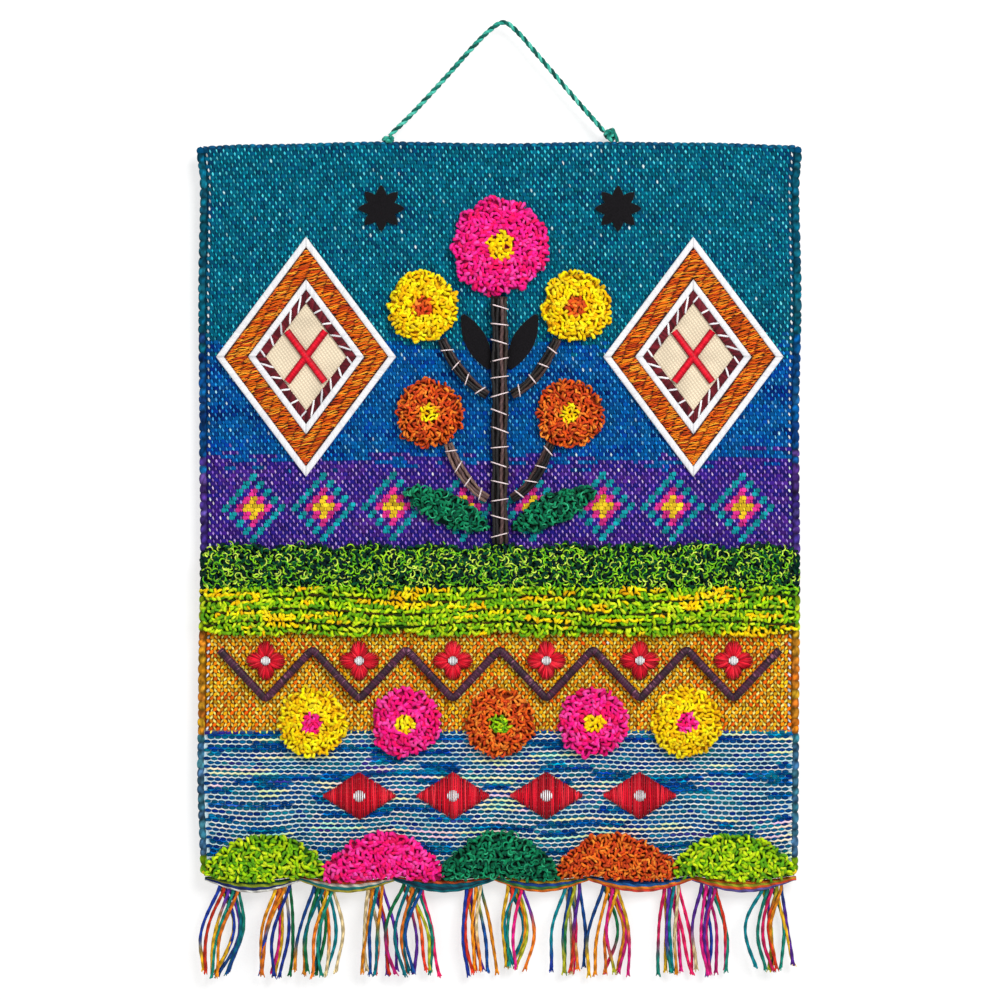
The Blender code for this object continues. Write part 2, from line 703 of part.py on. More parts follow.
def make_mounds():
    """The pile mounds along the hem."""
    first = -MOUND_WIDE * len(MOUND_COLOURS) / 2
    for n, colour in enumerate(MOUND_COLOURS):

        def place(u, v, left=first + MOUND_WIDE * n):
            across = left + MOUND_GAP / 2 + (MOUND_WIDE - MOUND_GAP) * u
            arch = math.sin(math.pi * (MOUND_CLIP + (1 - 2 * MOUND_CLIP) * u)) ** 0.75
            bottom = CLOTH_HEIGHT + hem_drop(across) - SEAT_GAP
            lock = MOUND_LOCK if round(u * MOUND_GRID[0]) % 2 else 0.0
            top = bottom - (CLOTH_HEIGHT - MOUND_TOP) * arch - lock
            return across, top + (bottom - top) * v

        lift = pile_lift(place, MOUND_HEIGHT, (6, 2.2))
        add_piece(f"mound_{n + 1}", *slab(*MOUND_GRID, place, lift), colour)


def main():
    """Clears the scene and makes every piece."""
    for old in list(bpy.data.objects):
        bpy.data.objects.remove(old)
    make_cloth()
    make_cord()
    make_knots()
    for number, (start, end) in enumerate(zip(HEADER_ENDS, HEADER_ENDS[1:]), 1):
        make_header(number, start + HEADER_END_GAP / 2, end - HEADER_END_GAP / 2)
    make_plant()
    make_stars()
    for side, sign in (("left", -1), ("right", 1)):
        make_diamond(side, sign)
    make_bands()
    make_zigzag()
    make_tufts_and_lozenges()
    make_mounds()


main()
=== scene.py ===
"""The looks of the woven wall hanging: yarn, pile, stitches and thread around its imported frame.

Sizes are in millimetres until a mesh is made. Places on the cloth are given as across, to the right of
its middle, and down, from its top edge, as in the part's own source. Colours are given out of 255.
"""

import math

import bpy
import numpy as np
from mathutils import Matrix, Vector
from mathutils.bvhtree import BVHTree

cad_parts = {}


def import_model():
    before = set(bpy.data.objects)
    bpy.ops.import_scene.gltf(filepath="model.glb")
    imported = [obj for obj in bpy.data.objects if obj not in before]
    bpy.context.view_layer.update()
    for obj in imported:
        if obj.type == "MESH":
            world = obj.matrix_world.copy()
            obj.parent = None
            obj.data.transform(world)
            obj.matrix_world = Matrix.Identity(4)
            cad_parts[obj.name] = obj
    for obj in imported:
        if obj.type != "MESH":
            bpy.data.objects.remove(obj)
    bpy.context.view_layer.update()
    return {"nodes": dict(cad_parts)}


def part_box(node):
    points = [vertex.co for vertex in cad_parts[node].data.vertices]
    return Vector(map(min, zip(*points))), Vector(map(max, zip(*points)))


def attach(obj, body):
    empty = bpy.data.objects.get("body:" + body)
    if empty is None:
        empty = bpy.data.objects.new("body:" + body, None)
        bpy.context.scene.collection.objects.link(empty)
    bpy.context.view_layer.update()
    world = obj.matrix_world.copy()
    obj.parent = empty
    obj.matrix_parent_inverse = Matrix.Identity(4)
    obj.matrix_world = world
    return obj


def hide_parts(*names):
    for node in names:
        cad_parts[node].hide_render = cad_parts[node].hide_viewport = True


MM = 0.001
COLOUR_LAYER = "yarn_colour"
NOISE_CELLS = 97  # along each side of the square of random values behind all patches
NOISE_SHIFT = 400.0  # keeps its places positive

# The cloth's driving sizes, as in the part
CLOTH_WIDTH = 360.0
CLOTH_HEIGHT = 437.0
CLOTH_THICK = 3.0
CORD_RISE = 73.0
CLOTH_MIDDLE_X = -2.7
SEAT_GAP = 0.35
BROAD_WAVE = (1.5, 58.0)
SLOW_WAVE = (0.8, 72.0)
SLOW_SLANT = 140.0
CORNER_LIFT = (2.2, 60.0)
STILL_SHARE = 0.35
TOP_RISE = ((-180, -1.9), (-150, -0.7), (-67, 1.2), (0, 0.2), (66, 1.2), (120, 0.7), (180, -1.0))
LEFT_SHIFT = ((0, -1.0), (22, 1.2), (90, 0.0), (180, 0.6), (232, 1.2), (330, 0.0), (375, -0.5), (440, 1.4))
RIGHT_SHIFT = ((0, 0.6), (25, -1.0), (90, 0.2), (165, -1.2), (260, -0.6), (350, -1.2), (440, -1.8))

# The camera, square on to the cloth
CAMERA_PLACE = (-2.5, -2000.0, -284.8)
CAMERA_LENS = 120.0

# The hanging cord, x and z of its route, its twist and its two knots
CORD_ROUTE = (
    (-67.4, -64.8), (-65.0, -62.6), (-55.8, -53.6), (-44.0, -41.0), (-31.8, -27.6), (-19.6, -13.9),
    (-8.3, -2.6), (0.0, 1.75), (8.3, -4.3), (20.1, -17.8), (32.3, -32.0), (44.6, -46.3),
    (55.6, -58.7), (58.7, -62.3),
)
CORD_RINGS = 220
CORD_TUCK = 2.0  # how far its plies run on into the knots
PLY_RADIUS = 1.1
PLY_OFFSET = 0.56
PLY_PITCH = 8.4
PLY_TWIST = (0.14, 2.4)  # depth of the groove between a yarn's own two plies, and its pitch
CORD_COLOURS = ((0, 84, 76), (10, 140, 122), (80, 214, 188))
# The two plies' greens, one darker and one lighter: painted groove shade and painted highlight that alternate
# along the twist
PLY_COLOURS = (((0, 76, 68), (0, 104, 92), (10, 132, 116)), ((30, 160, 140), (70, 204, 180), (120, 232, 208)))
KNOTS = {
    # place across, height of its middle over the edge, half width, half height, and turn in its own plane
    "knot_left": (-66.6, 3.3, 4.3, 2.9, 0.5),
    "knot_right": (66.3, 6.3, 4.1, 5.0, 2.5),
}
KNOT_TAILS = {
    # x, y and height along the tail, from the knot's place on the edge
    "knot_right": ((0.6, -2.2, 8.2), (2.7, -2.0, 6.6), (3.9, -1.4, 4.4), (4.3, -0.6, 2.0)),
}
KNOT_YARN = 1.4
KNOT_DEEP = 1.8
KNOT_TWIST = (0.2, 4.2)
KNOT_RINGS = 73
TAIL_YARN = 0.85  # as a share of the knot's yarn

# The plain weave
WARP_PITCH = 2.1
PICK_PITCH = 2.3
WARP_COUNT = round(CLOTH_WIDTH / WARP_PITCH)
PICK_COUNT = round(CLOTH_HEIGHT / PICK_PITCH)
FLOAT_STRAY = (0.13, 0.08)  # of a float from its place, across and down, as shares of the pitches
COVER_REACH = 2.4  # floats this far inside a motif's outline are left out
PLAIN_TONES = (0.84, 1.16)  # from the darkest to the lightest float
OCHRE_TONES = (0.82, 1.26)
WEFT_HALF = (2.05, 1.3)  # half the length and half the height of one visible weft float
DASH_HALF = (0.6, 1.95)  # half the width and half the length of one visible warp dash
OCHRE_HALF = (1.5, 1.05)  # the same in the ochre ground, whose yarn is beaten closer
DOT_HALF = (0.8, 1.75)
DASH_SPREADS = ((0.75, 1.3), (0.85, 1.08))  # of a dash's width and length
OCHRE_SLANT = 0.42  # of its floats and dashes, which lean by turns
WEFT_LIFTS = (0.0, -0.4, -0.8)  # at a float's crown, its long edges and its tips
DASH_LIFTS = (0.32, -0.1, -0.7)
# Painted highlight on a float's crown and painted shade on its long edges and tips, as shares of its colour
FLOAT_SHADES = (1.06, 0.92, 0.5)
FLOAT_SHOULDER = 0.5  # the share of a float's half length that has its full height
LENS_SHOULDER = 0.74
PLAIN_FLOAT = (
    # shares of half the length and half the height, with 0 for crown, 1 for edge, 2 for tip; then its quads
    ((-1.0, 0.0, 2), (0.0, -1.0, 1), (0.0, 0.0, 0), (0.0, 1.0, 1), (1.0, 0.0, 2)),
    ((0, 2, 4, 1), (0, 3, 4, 2)),
)
# The same painted highlight and shade for a warp dash
DASH_SHADES = (1.1, 0.8, 0.6)
LENS_HALF = (2.06, 1.0)  # a blue float of the banded rows
LENS_LIFTS = (0.35, -0.35, -0.7)
# Painted highlight and shade of a blue float
LENS_SHADES = (1.08, 0.86, 0.7)
BANDED_PITCH = 2.62  # down, of one blue row with its white row
PICK_YARN = 0.47  # radius of a white pick
PICK_WAVE = 0.36  # how far it winds up and down between the floats
PICK_LIFT = 0.05
PICK_LACK = 0.27  # the share of the white rows that runs blue instead
SELVEDGE = 4.0  # width of the rolled edge, which has no plain weave
SHEET_FRONT = -0.8  # lift of the base sheet's faces
SHEET_BACK = -2.3
SHEET_GRID = (46, 74)
SHEET_SHADES = (0.48, 0.6)  # of the weft's colour, from the ochre ground down and above it: painted shade in the gaps between floats
SHEET_MARGIN = 0.004  # the share of its width that the base sheet stays inside the rolled edges
TURN_PITCH = 5.2  # of the weft's turns at the selvedges
TOP_TURN_PITCH = 4.1
TURN_RINGS = 6  # points along each turn
TURN_TWIST = (0.16, 8.3)
TOP_TURN_TWIST = (0.16, 8.6)
TURN_YARN = 2.5
TURN_INSET = 2.0
TURN_SWELL = 0.65
TURN_SQUASH = 0.7
TOP_TURN_YARN = 1.65
TOP_INSET = -0.1

# Colours of the ground: weft and warp, as ranges to drift through
TEAL_WEFT = ((0, 46, 78), (0, 64, 98), (0, 86, 110), (0, 54, 92), (0, 94, 118))
TEAL_WARP = ((0, 112, 138), (6, 142, 164), (30, 174, 190), (84, 206, 220), (206, 244, 248))
BLUE_WEFT = ((0, 34, 110), (0, 54, 142), (0, 76, 134), (0, 28, 100), (0, 66, 156))
BLUE_WARP = ((0, 100, 186), (14, 130, 210), (66, 166, 232), (196, 228, 248))
PURPLE_WEFT = ((40, 16, 100), (56, 24, 120), (28, 22, 112), (70, 30, 124), (20, 34, 118))
PURPLE_WARP = ((96, 58, 172), (134, 96, 198), (178, 146, 220), (244, 232, 250))
OCHRE_WEFT = ((236, 134, 6), (248, 170, 14), (226, 82, 8), (218, 158, 10), (214, 112, 6), (250, 156, 12))
OCHRE_WARP = ((246, 150, 14), (255, 206, 44), (255, 232, 120), (255, 222, 84), (255, 252, 220))
BANDED_WEFT = (
    (0, 36, 96), (0, 76, 140), (0, 52, 108), (0, 100, 124), (2, 38, 116), (0, 122, 146), (50, 40, 128),
)
PICK_RUN = 34.0  # across, of the stretches where a row keeps its colour
BLUE_YARN = 0.68  # the same yarn where it runs blue
PICK_THICK = 0.74  # above this a white row runs thicker and tinted
THICK_YARN = 0.8
PICK_WHITES = ((228, 242, 244), (248, 248, 244), (196, 230, 236), (250, 238, 234), (240, 246, 232))
PICK_TINTS = ((238, 196, 236), (252, 236, 204), (232, 242, 184), (166, 238, 228))
EDGE_WARP = (228, 240, 244)
NET_COLOUR = (196, 220, 230)  # between the floats of the banded rows
BACK_NET = 0.45  # the share of that light at the back, where fewer white picks show
HEM_WEFT = ((230, 142, 24), (240, 196, 40), (214, 78, 32), (242, 116, 34), (160, 156, 30))

CORNER_YARN = 2.7
CORNERS = (
    # across, down, colours
    (-179.2, 2.6, TEAL_WEFT), (178.8, 2.0, TEAL_WEFT), (-176.6, 434.0, HEM_WEFT), (176.0, 434.0, HEM_WEFT),
)

# Where one ground colour gives way to the next, down the cloth
TEAL_END = 118.0
BLUE_END = 188.0
PURPLE_END = 244.0
OCHRE_END = 351.0
BANDED_END = 431.0
BLEND_ZONE = 16.0
BANDED_RIPPLE = 2.6  # how far the banded rows stray, from lowest to highest

# The woven stepped diamonds in the purple ground, in cells of two warps by two picks
STEP_COUNT = 8
STEP_PERIOD = 10
STEP_ROW = 94  # the pick through their middles
STEP_RINGS = {0: (244, 196, 40), 1: (244, 196, 40), 2: (226, 50, 140), 4: (20, 150, 160)}

# The header's yarns and the tassels
HEADER_ENDS = (-175.2, -119.4, -63.0, -3.0, 53.4, 115.2, 176.4)
HEADER_OVERLAP = 1.4
HEM_DROP = 3.0
HEADER_DEEP = 6.5
HEADER_THIN = 2.6
HEADER_YARNS = (
    # depth and height as shares of the bundle's own half sizes, front and then back
    (-0.75, 0.82), (-1.0, 0.28), (-1.0, -0.28), (-0.7, -0.84),
    (0.7, 0.8), (1.0, 0.26), (1.0, -0.3), (0.7, -0.8),
)
HEADER_HALF = 2.3
HEADER_YARN = 1.45
HEADER_TWIST = (0.2, 9.0)
HEADER_RINGS = 46
HEADER_WOBBLE = 1.7  # from one yarn of a bundle to the next
TASSELS = (
    # across, strands, front_bow, back_bow, front_end, back_end, end_pitch, length
    (-162.2, 5, -7.0, 6.0, -12.0, -4.0, 2.7, 50.0),
    (-130.0, 4, -5.0, 1.5, -11.0, -3.0, 3.6, 51.0),
    (-105.6, 5, -4.0, 4.0, -9.0, 1.0, 3.2, 49.5),
    (-74.6, 4, -1.5, 3.0, -3.0, 5.5, 2.8, 49.5),
    (-52.0, 5, -5.5, 4.5, -6.0, 8.5, 3.0, 50.0),
    (-15.6, 4, -3.0, 2.0, -1.0, 6.5, 3.2, 49.5),
    (9.2, 4, -4.5, 5.5, -1.5, 1.5, 2.7, 46.0),
    (43.8, 4, -3.0, 1.5, -6.5, 3.5, 3.4, 49.0),
    (66.6, 4, -4.5, 5.5, -4.5, 3.5, 3.2, 50.5),
    (103.2, 4, -2.5, 2.0, -1.5, 7.5, 3.1, 50.0),
    (125.4, 4, -4.5, 4.0, -1.0, 7.0, 3.4, 49.5),
    (163.6, 5, -6.5, 1.5, -3.0, 6.0, 3.0, 46.5),
)
ROOT_PITCH = 2.75
LAYER_PLACE = 1.5
ROOT_SHARE = 0.09  # of a strand, over which it comes forward from behind the header
LENGTH_SPREAD = 1.6
STRAND_YARN = 1.12
STRAND_RINGS = 24
STRAND_TWIST = (0.2, 8.0)
FRAY_LENGTH = 4.0
FRAY_FIBRES = 6
FRAY_YARN = 0.64
DYED_SHARE = 0.5  # of the yarns change colour along their length
FRINGE_COLOURS = (
    (0, 128, 140), (18, 74, 150), (14, 122, 70), (186, 186, 40), (246, 190, 30), (244, 124, 28),
    (232, 56, 30), (228, 30, 130), (98, 44, 164), (232, 206, 150), (240, 30, 100),
    (0, 106, 120), (26, 56, 160), (20, 140, 120), (250, 150, 20),
)
HEADER_SETS = (
    # the four front yarns of each bundle, from its top to its foot
    ((10, 90, 60), (150, 166, 40), (28, 44, 110), (232, 230, 222)),
    ((232, 96, 40), (214, 208, 190), (24, 120, 120), (184, 170, 60)),
    ((226, 90, 36), (0, 96, 116), (14, 60, 80), (0, 110, 120)),
    ((236, 176, 30), (28, 74, 150), (60, 120, 60), (240, 120, 30)),
    ((20, 60, 130), (30, 100, 170), (232, 130, 34), (226, 70, 50)),
    ((240, 120, 30), (170, 168, 36), (228, 86, 40), (100, 90, 160)),
)

# Looped pile: a look for each piece
LOOP_RINGS = 6
LOOP_SIDES = 4
LOOP_SINK = 2.6
LOOP_OUT = 1.4
LOOP_ENDS = 0.12  # radians of its half turn that are left out at each end
LOOP_CURL = 0.8
ROW_CURL = 1.2  # the same where the loops stand in rows
COMPASS = [(math.cos(k * math.pi / 4), math.sin(k * math.pi / 4)) for k in range(8)]  # eight ways out
BED_SINK = 2.2
PINKS = ((250, 30, 140), (240, 14, 120), (255, 70, 165), (250, 24, 104), (252, 44, 150))
YELLOWS = ((255, 216, 0), (255, 230, 10), (252, 202, 0), (246, 184, 0), (255, 224, 30))
ORANGES = ((214, 84, 20), (232, 112, 30), (192, 62, 20), (244, 138, 46), (208, 74, 30))
LIMES = ((150, 200, 10), (184, 216, 14), (116, 176, 14), (206, 224, 34), (90, 156, 20))
GREENS = ((0, 92, 60), (4, 110, 72), (12, 130, 84), (0, 74, 54), (24, 144, 96))
DARK_GREENS = ((0, 38, 28), (0, 56, 36), (0, 30, 34), (4, 74, 40))
LIME_CURLS = ((166, 222, 40), (126, 200, 28), (204, 234, 84), (92, 176, 32))
GREEN_CURLS = ((20, 150, 100), (50, 170, 120), (10, 130, 90))
PILE_SLOTS = {
    # slot: pieces, colours, ground colour (painted shade between the loops), yarn radius, pitch, loop width
    # and height, painted shade at the foot
    "pile_pink": (("bloom_top", "tuft_2", "tuft_4", "mound_2"), PINKS, (176, 12, 88), 1.12,
                  2.4, 3.0, 3.2, 0.62),
    "pile_yellow": (("bloom_left_high", "bloom_right_high", "tuft_1", "tuft_5"), YELLOWS, (206, 140, 0), 1.02,
                    2.25, 2.8, 3.1, 0.66),
    "pile_orange": (("bloom_left_low", "bloom_right_low", "tuft_3", "mound_4"), ORANGES, (130, 40, 8), 0.8,
                    2.1, 3.0, 3.3, 0.55),
    "pile_lime": (("pile_band_lower", "mound_1", "mound_5"), LIMES, (30, 84, 14), 0.98, 2.35, 3.0, 3.1, 0.6),
    "pile_green": (("pile_band_upper", "pile_leaf_left", "pile_leaf_right", "mound_3"), GREENS, (0, 40, 30),
                   0.98, 2.7, 3.0, 2.9, 0.5),
}
CURLED = {
    # piece with thin curls over its pile: their colours and pitch
    "pile_band_upper": (LIME_CURLS, 2.9),
    "pile_leaf_left": (GREEN_CURLS, 4.2),
    "pile_leaf_right": (GREEN_CURLS, 4.2),
    "mound_3": (GREEN_CURLS, 4.2),
}
CURL_YARN = 0.52
CURL_RADIUS = (1.1, 2.3)
CURL_SWEEP = (1.6, 4.0)
EDGE_GREENS = ((245.0, 268.0, DARK_GREENS), (268.0, 292.0, LIMES), (424.0, 440.0, LIMES))  # beside the pile
HEARTS = {
    # a round piece with a heart of another colour: across, down, radius of the heart, colours
    "bloom_top": (0.0, 60.0, 8.5, YELLOWS),
    "bloom_left_high": (-46.0, 96.0, 6.0, ORANGES),
    "bloom_right_high": (46.0, 96.0, 6.0, ORANGES),
    "bloom_left_low": (-42.0, 160.0, 5.5, YELLOWS),
    "bloom_right_low": (42.0, 160.0, 5.5, YELLOWS),
    "tuft_1": (-112.0, 345.0, 6.0, PINKS),
    "tuft_2": (-56.0, 345.0, 6.0, YELLOWS),
    "tuft_3": (0.0, 345.0, 6.0, LIMES),
    "tuft_4": (56.0, 345.0, 6.0, YELLOWS),
    "tuft_5": (112.0, 345.0, 6.0, PINKS),
}
ROW_STEPS = (2.0, 2.0, 3.5)  # down between the lower band's rows, which lie in threes
ROW_WAVE = (1.6, 22.0)
ROW_DRIFT = 0.2  # of the wave, from one row to the next
FURROW_YARN = 0.62
FURROW_LIFT = 0.5
FURROW_DIP = 1.2  # how far its furrows sink in places
FURROW_STEP = 1.6
FURROW_WANDER = 2.2  # up and down, from lowest to highest
FURROWS = ((44, 46, 10), (26, 54, 16), (70, 44, 12), (20, 40, 16))

# The plant's wrapped cords
STEM = ((0.0, 238.0), (0.0, 90.2))
STEM_HALF = (5.0, 3.2)
BRANCH_HALF = (3.2, 2.4)
STEM_YARN = 1.35
BRANCH_YARN = 1.15
BRANCH_STEPS = 20
BARK_TWIST = (0.3, 5.0)
BUNDLE_STEP = 2.6  # along it, from one ring of its yarns to the next
BRANCHES = {
    "high": ((7.2, 149.0), (24.0, 140.0), (34.6, 115.5)),
    "low": ((7.2, 211.0), (22.0, 203.0), (30.7, 178.0)),
}
# Dark yarns of the plant; the paler tans among them are partly the yarns' own tone and partly painted glints
BARKS = ((30, 18, 20), (74, 50, 46), (16, 11, 13), (136, 104, 92), (52, 40, 32), (104, 74, 72), (22, 15, 17))
TIE_PITCH = 10.5
TIE_YARN = 0.44
TIE_COLOUR = (224, 206, 206)

# The zigzag cord
ZIGZAG_HALF = (2.6, 2.2)
ZIGZAG_TOP = 301.0
ZIGZAG_BOTTOM = 331.0
ZIGZAG_STEP = 28.0
ZIGZAG_LEGS = 12
ZIGZAG_TURN = 0.12
ZIGZAG_SIDES = 8
WRAP_PITCH = 1.7
WRAP_TURN = 0.9  # of a pitch, that the thread climbs in one turn
WRAP_GROOVE = 0.86  # the share of the radius that is left between two turns
WRAP_RIDGE = 0.14
PLUMS = ((58, 18, 44), (76, 26, 56), (44, 14, 34), (66, 22, 48))
FLECK = (142, 86, 112)

# Satin flowers and lozenges
FLOWER_ACROSS = (-140.0, -84.0, -28.0, 28.0, 84.0, 140.0)
FLOWER_DOWN = 308.0
FLOWER_RADIUS = 12.0
FLOWER_HEIGHT = 3.2
PETAL_NOTCH = 0.5
PETAL_THREADS = 13
PETAL_SPREAD = 0.68  # half a petal's angle
PETAL_START = 1.4  # from the flower's middle
PETAL_SHORT = 0.3  # how far its threads end inside the outline
LOZENGES_ACROSS = (-84.0, -28.0, 28.0, 84.0)
LOZENGE_DOWN = 389.0
LOZENGE_HALF = (22.0, 14.0)
LOZENGE_HEIGHT = 3.0
LOZENGE_THREADS = 38
LOZENGE_YARN = 0.66
SATIN_YARN = 0.62
SATIN_RINGS = 7
FLOWER_BUTTON = 2.6  # radius of the white round on it
LOZENGE_BUTTON = 3.4
BUTTON_THREADS = 6
BUTTON_YARN = 0.5
REDS = ((206, 8, 34), (228, 24, 48), (170, 4, 26), (236, 44, 60), (190, 10, 34))
WHITES = ((244, 243, 246), (238, 237, 241), (249, 249, 250))

# The framed diamonds
DIAMONDS_ACROSS = {"left": -116.0, "right": 116.0}
DIAMOND_DOWN = 126.0
DIAMOND_HALF = (54.0, 72.0)
OUTER_STRIP = (0.912, 1.0, 2.4)  # shares of the diamond from its inner to its outer edge, and thickness
INNER_STRIP = (0.56, 0.646, 2.4)
STITCHED = (0.655, 0.903, 2.6)
EDGING = (0.452, 0.557, 2.0)
OUTER_WRAPS = 90  # rings of points along each side, of which every other one stands out as a thread
INNER_WRAPS = 58
EDGING_WRAPS = 40
STRIP_RIDGE = 0.05  # how far it stands out
EDGING_RIDGE = 0.12
BEVEL = (0.14, 0.5)  # of a strip's edge: as a share of its width, and in depth
MITRE_SINK = 0.35
# Painted shade along the sunk mitres, as a share of the strip's colour
MITRE_SHADE = 0.85
BACKING_SINK = 1.1  # of the ring under the stitches
BACKING_STEPS = 8
EDGING_THREADS = 5  # white threads over each of its sides
EDGING_POINTS = 4  # places along a side for each thread
EDGING_LEAN = 2  # of those places
EDGING_YARN = 0.62
EDGING_RINGS = 5
PATCH_SHARE = 0.449
PATCH_THICK = 1.0
PATCH_GRID = 24
PATCH_EDGE = 0.45  # how far its edge turns down
LINEN = (240, 222, 192)
LINEN_PITCH = 1.75
LINEN_TURN = 0.62
STITCH_PITCH = 0.98
STITCH_YARN = 0.48
STITCH_RINGS = 6
STITCH_COLUMN = 7.0
STITCH_FALL = 0.22  # down, for each step across
STITCH_STRAY = 0.8
STITCH_LAP = 0.5
STITCH_SLANT = 0.45  # of the columns, across for each step down
STITCH_LEAST = 1.2  # a shorter stitch is left out
STITCHES = ((226, 90, 4), (252, 136, 14), (238, 108, 8), (198, 62, 8), (255, 162, 40))
# Painted shade between the stitches, as the colour of the ring under them
STITCH_DARK = (72, 18, 10)
MAROONS = ((84, 12, 24), (104, 18, 32), (70, 10, 20), (124, 28, 40))
SLAT_HALF = 2.2
SLAT_THICK = 2.0
SLAT_REACH = 19.2
SLAT_WAY = (0.6, 0.8)
SLAT_PROFILE = (
    # across and high as shares, and the painted shade and highlight of its thread there, darker at the edges
    # and lightest near the crown
    (-1.0, 0.0, 0.6), (-0.96, 0.55, 0.7), (-0.6, 0.9, 0.95), (-0.1, 1.0, 1.15),
    (0.45, 0.95, 0.9), (0.96, 0.55, 0.72), (1.0, 0.0, 0.6),
)
SLAT_LOWER = 0.93  # the height of the slat that lies below, as a share of the other's
SLAT_STEP = 0.55
SLAT_RIDGE = 0.1

# Looks
BAND_RATIO = 3.2  # a texture of bands has the scale one over this and over the bands' pitch
PLY_RATIO = 6.3  # the same where the bands run at a slant
FIBRE_SPAN = (0.3, 0.7)  # of a yarn's height, from where it is darkest to where it is lightest: painted shade in its hollows, painted highlight on its tops
LINEN_SPAN = (0.0, 1.0)
# Painted shade in the linen's hollows and painted highlight on its ribs, as shares of its colour
LINEN_SHADES = (0.72, 1.08)

# Felt, each leaf with its foot, tip, half width and thickness
FELT_LEAF = ((6.0, 133.0), (22.0, 101.0), 6.5, 1.3)
FELT_STAR = (71.0, 37.0, 14.0, 0.6, 1.3, 8)  # across, down, radius, notches, thickness, tips
LEAF_TAPER = 0.85
LEAF_CLIP = 0.04
FELT_BLACK = (17, 15, 18)
FELT_PROFILE = (
    # share of the outline, share of the thickness, and what is added to that
    (0.02, 0.0, 0.0), (1.0, 0.0, 0.0), (1.015, 0.3, 0.0), (1.0, 0.75, 0.0), (0.955, 1.0, 0.0),
    (0.6, 1.0, 0.08), (0.02, 1.0, 0.1),
)

# Patches of noise: their size one way and the other, and a seed
CORD_PATCH = (5.0, 1.0, 3)
BANDED_PATCH = (46.0, 24.0, 17)
GROUND_DRIFT = (34.0, 1.6, 11)
GROUND_CLOUD = (26.0, 18.0, 12)
GROUND_SPECK = (1.7, 1.9, 13)
GROUND_LIGHT = (2.2, 2.4, 14)
GROUND_BORDER = (22.0, 1.0, 15)
GROUND_SPARK = (1.9, 2.3, 16)
STEP_SPECK = (2.0, 2.0, 21)
BLUE_DRIFT = (26.0, 1.1, 19)
BLUE_SPECK = (4.5, 1.6, 20)
PICK_KIND = (PICK_RUN, 1.1, 22)
PICK_TINT = (15.0, 1.1, 27)
PICK_BLUE = (26.0, 1.0, 23)
PICK_SWELL = (9.0, 1.0, 24)
EDGE_DRIFT = (9.0, 1.0, 30)
ROW_STREAK = (19.0, 2.2, 33)
ROW_SPECK = (2.5, 2.5, 34)
FURROW_PATH = (8.0, 1.0, 37)
FURROW_COLOUR = (12.0, 1.0, 38)
FURROW_DEPTH = (8.0, 1.0, 39)
FURROW_SWELL = (5.0, 2.0, 40)
FLECK_PATCH = (1.1, 1.0, 35)
LINEN_CLOUD = (9.0, 7.0, 31)

# The stage, in metres
WALL = [(-3, 0.009, -1.5), (3, 0.009, -1.5), (3, 0.009, 2), (-3, 0.009, 2)]
FLOOR = [(-3, -3, -1.5), (3, -3, -1.5), (3, 3, -1.5), (-3, 3, -1.5)]
LIGHT_TARGET = (0, 0, -0.28)
LIGHTS = {
    # place, size and power
    "key": ((0.9, -1.7, 0.75), 1.1, 40.0),
    "fill": ((-1.6, -1.6, -0.1), 1.6, 12.0),
    "behind": ((-0.4, 1.9, 0.5), 1.6, 22.0),
}
SKY_POWER = 0.35
WALL_GREY = 0.45
WALL_GLOW = 0.6


# Numbers and colours

def linear(colours):
    """Colours out of 255 as the linear values that a shader takes."""
    share = np.clip(np.asarray(colours, float) / 255, 0, 1)
    return np.where(share <= 0.04045, share / 12.92, ((share + 0.055) / 1.055) ** 2.4)


def mixed(palette, share):
    """Colours at places along a palette, as it drifts from its first colour to its last."""
    palette = np.asarray(palette, float)
    at = np.clip(share, 0, 1) * (len(palette) - 1)
    low = np.minimum(at.astype(int), len(palette) - 2)
    part = (at - low)[..., None]
    return palette[low] * (1 - part) + palette[low + 1] * part


def chosen(palette, rng, count, spread=(0.86, 1.1)):
    """A colour for each of many yarns, with a small spread of brightness."""
    palette = np.asarray(palette, float)
    picked = palette[rng.integers(0, len(palette), count)]
    return picked * rng.uniform(*spread, (count, 1))


def patchy(x, y, size_x, size_y, seed):
    """Smooth noise from 0 to 1 at many places, in patches of about that size."""
    lattice = np.random.default_rng(seed).random((NOISE_CELLS, NOISE_CELLS))
    x, y = np.broadcast_arrays(x, y)
    at_x, at_y = x / size_x + NOISE_SHIFT, y / size_y + NOISE_SHIFT
    low_x, low_y = np.floor(at_x).astype(int), np.floor(at_y).astype(int)
    part_x, part_y = at_x - low_x, at_y - low_y
    part_x, part_y = part_x**2 * (3 - 2 * part_x), part_y**2 * (3 - 2 * part_y)
    a, b = low_x % NOISE_CELLS, (low_x + 1) % NOISE_CELLS
    c, d = low_y % NOISE_CELLS, (low_y + 1) % NOISE_CELLS
    upper = lattice[a, c] * (1 - part_x) + lattice[b, c] * part_x
    lower = lattice[a, d] * (1 - part_x) + lattice[b, d] * part_x
    return upper * (1 - part_y) + lower * part_y


def between(table, at):
    """The values at places in a short table of (place, value), eased between its rows."""
    places, values = np.asarray(table, float).T
    at = np.asarray(at, float)
    row = np.clip(np.searchsorted(places, at) - 1, 0, len(places) - 2)
    share = np.clip((at - places[row]) / (places[row + 1] - places[row]), 0, 1)
    return values[row] + (values[row + 1] - values[row]) * share**2 * (3 - 2 * share)


def hem_drop(across):
    """How far the hem hangs below the cloth's plain height, in one swag for each header bundle."""
    across = np.asarray(across, float)
    drop = np.zeros_like(across)
    for start, end in zip(HEADER_ENDS, HEADER_ENDS[1:]):
        inside = (across >= start) & (across <= end)
        drop = np.where(inside, HEM_DROP * np.sin(math.pi * (across - start) / (end - start)), drop)
    return drop


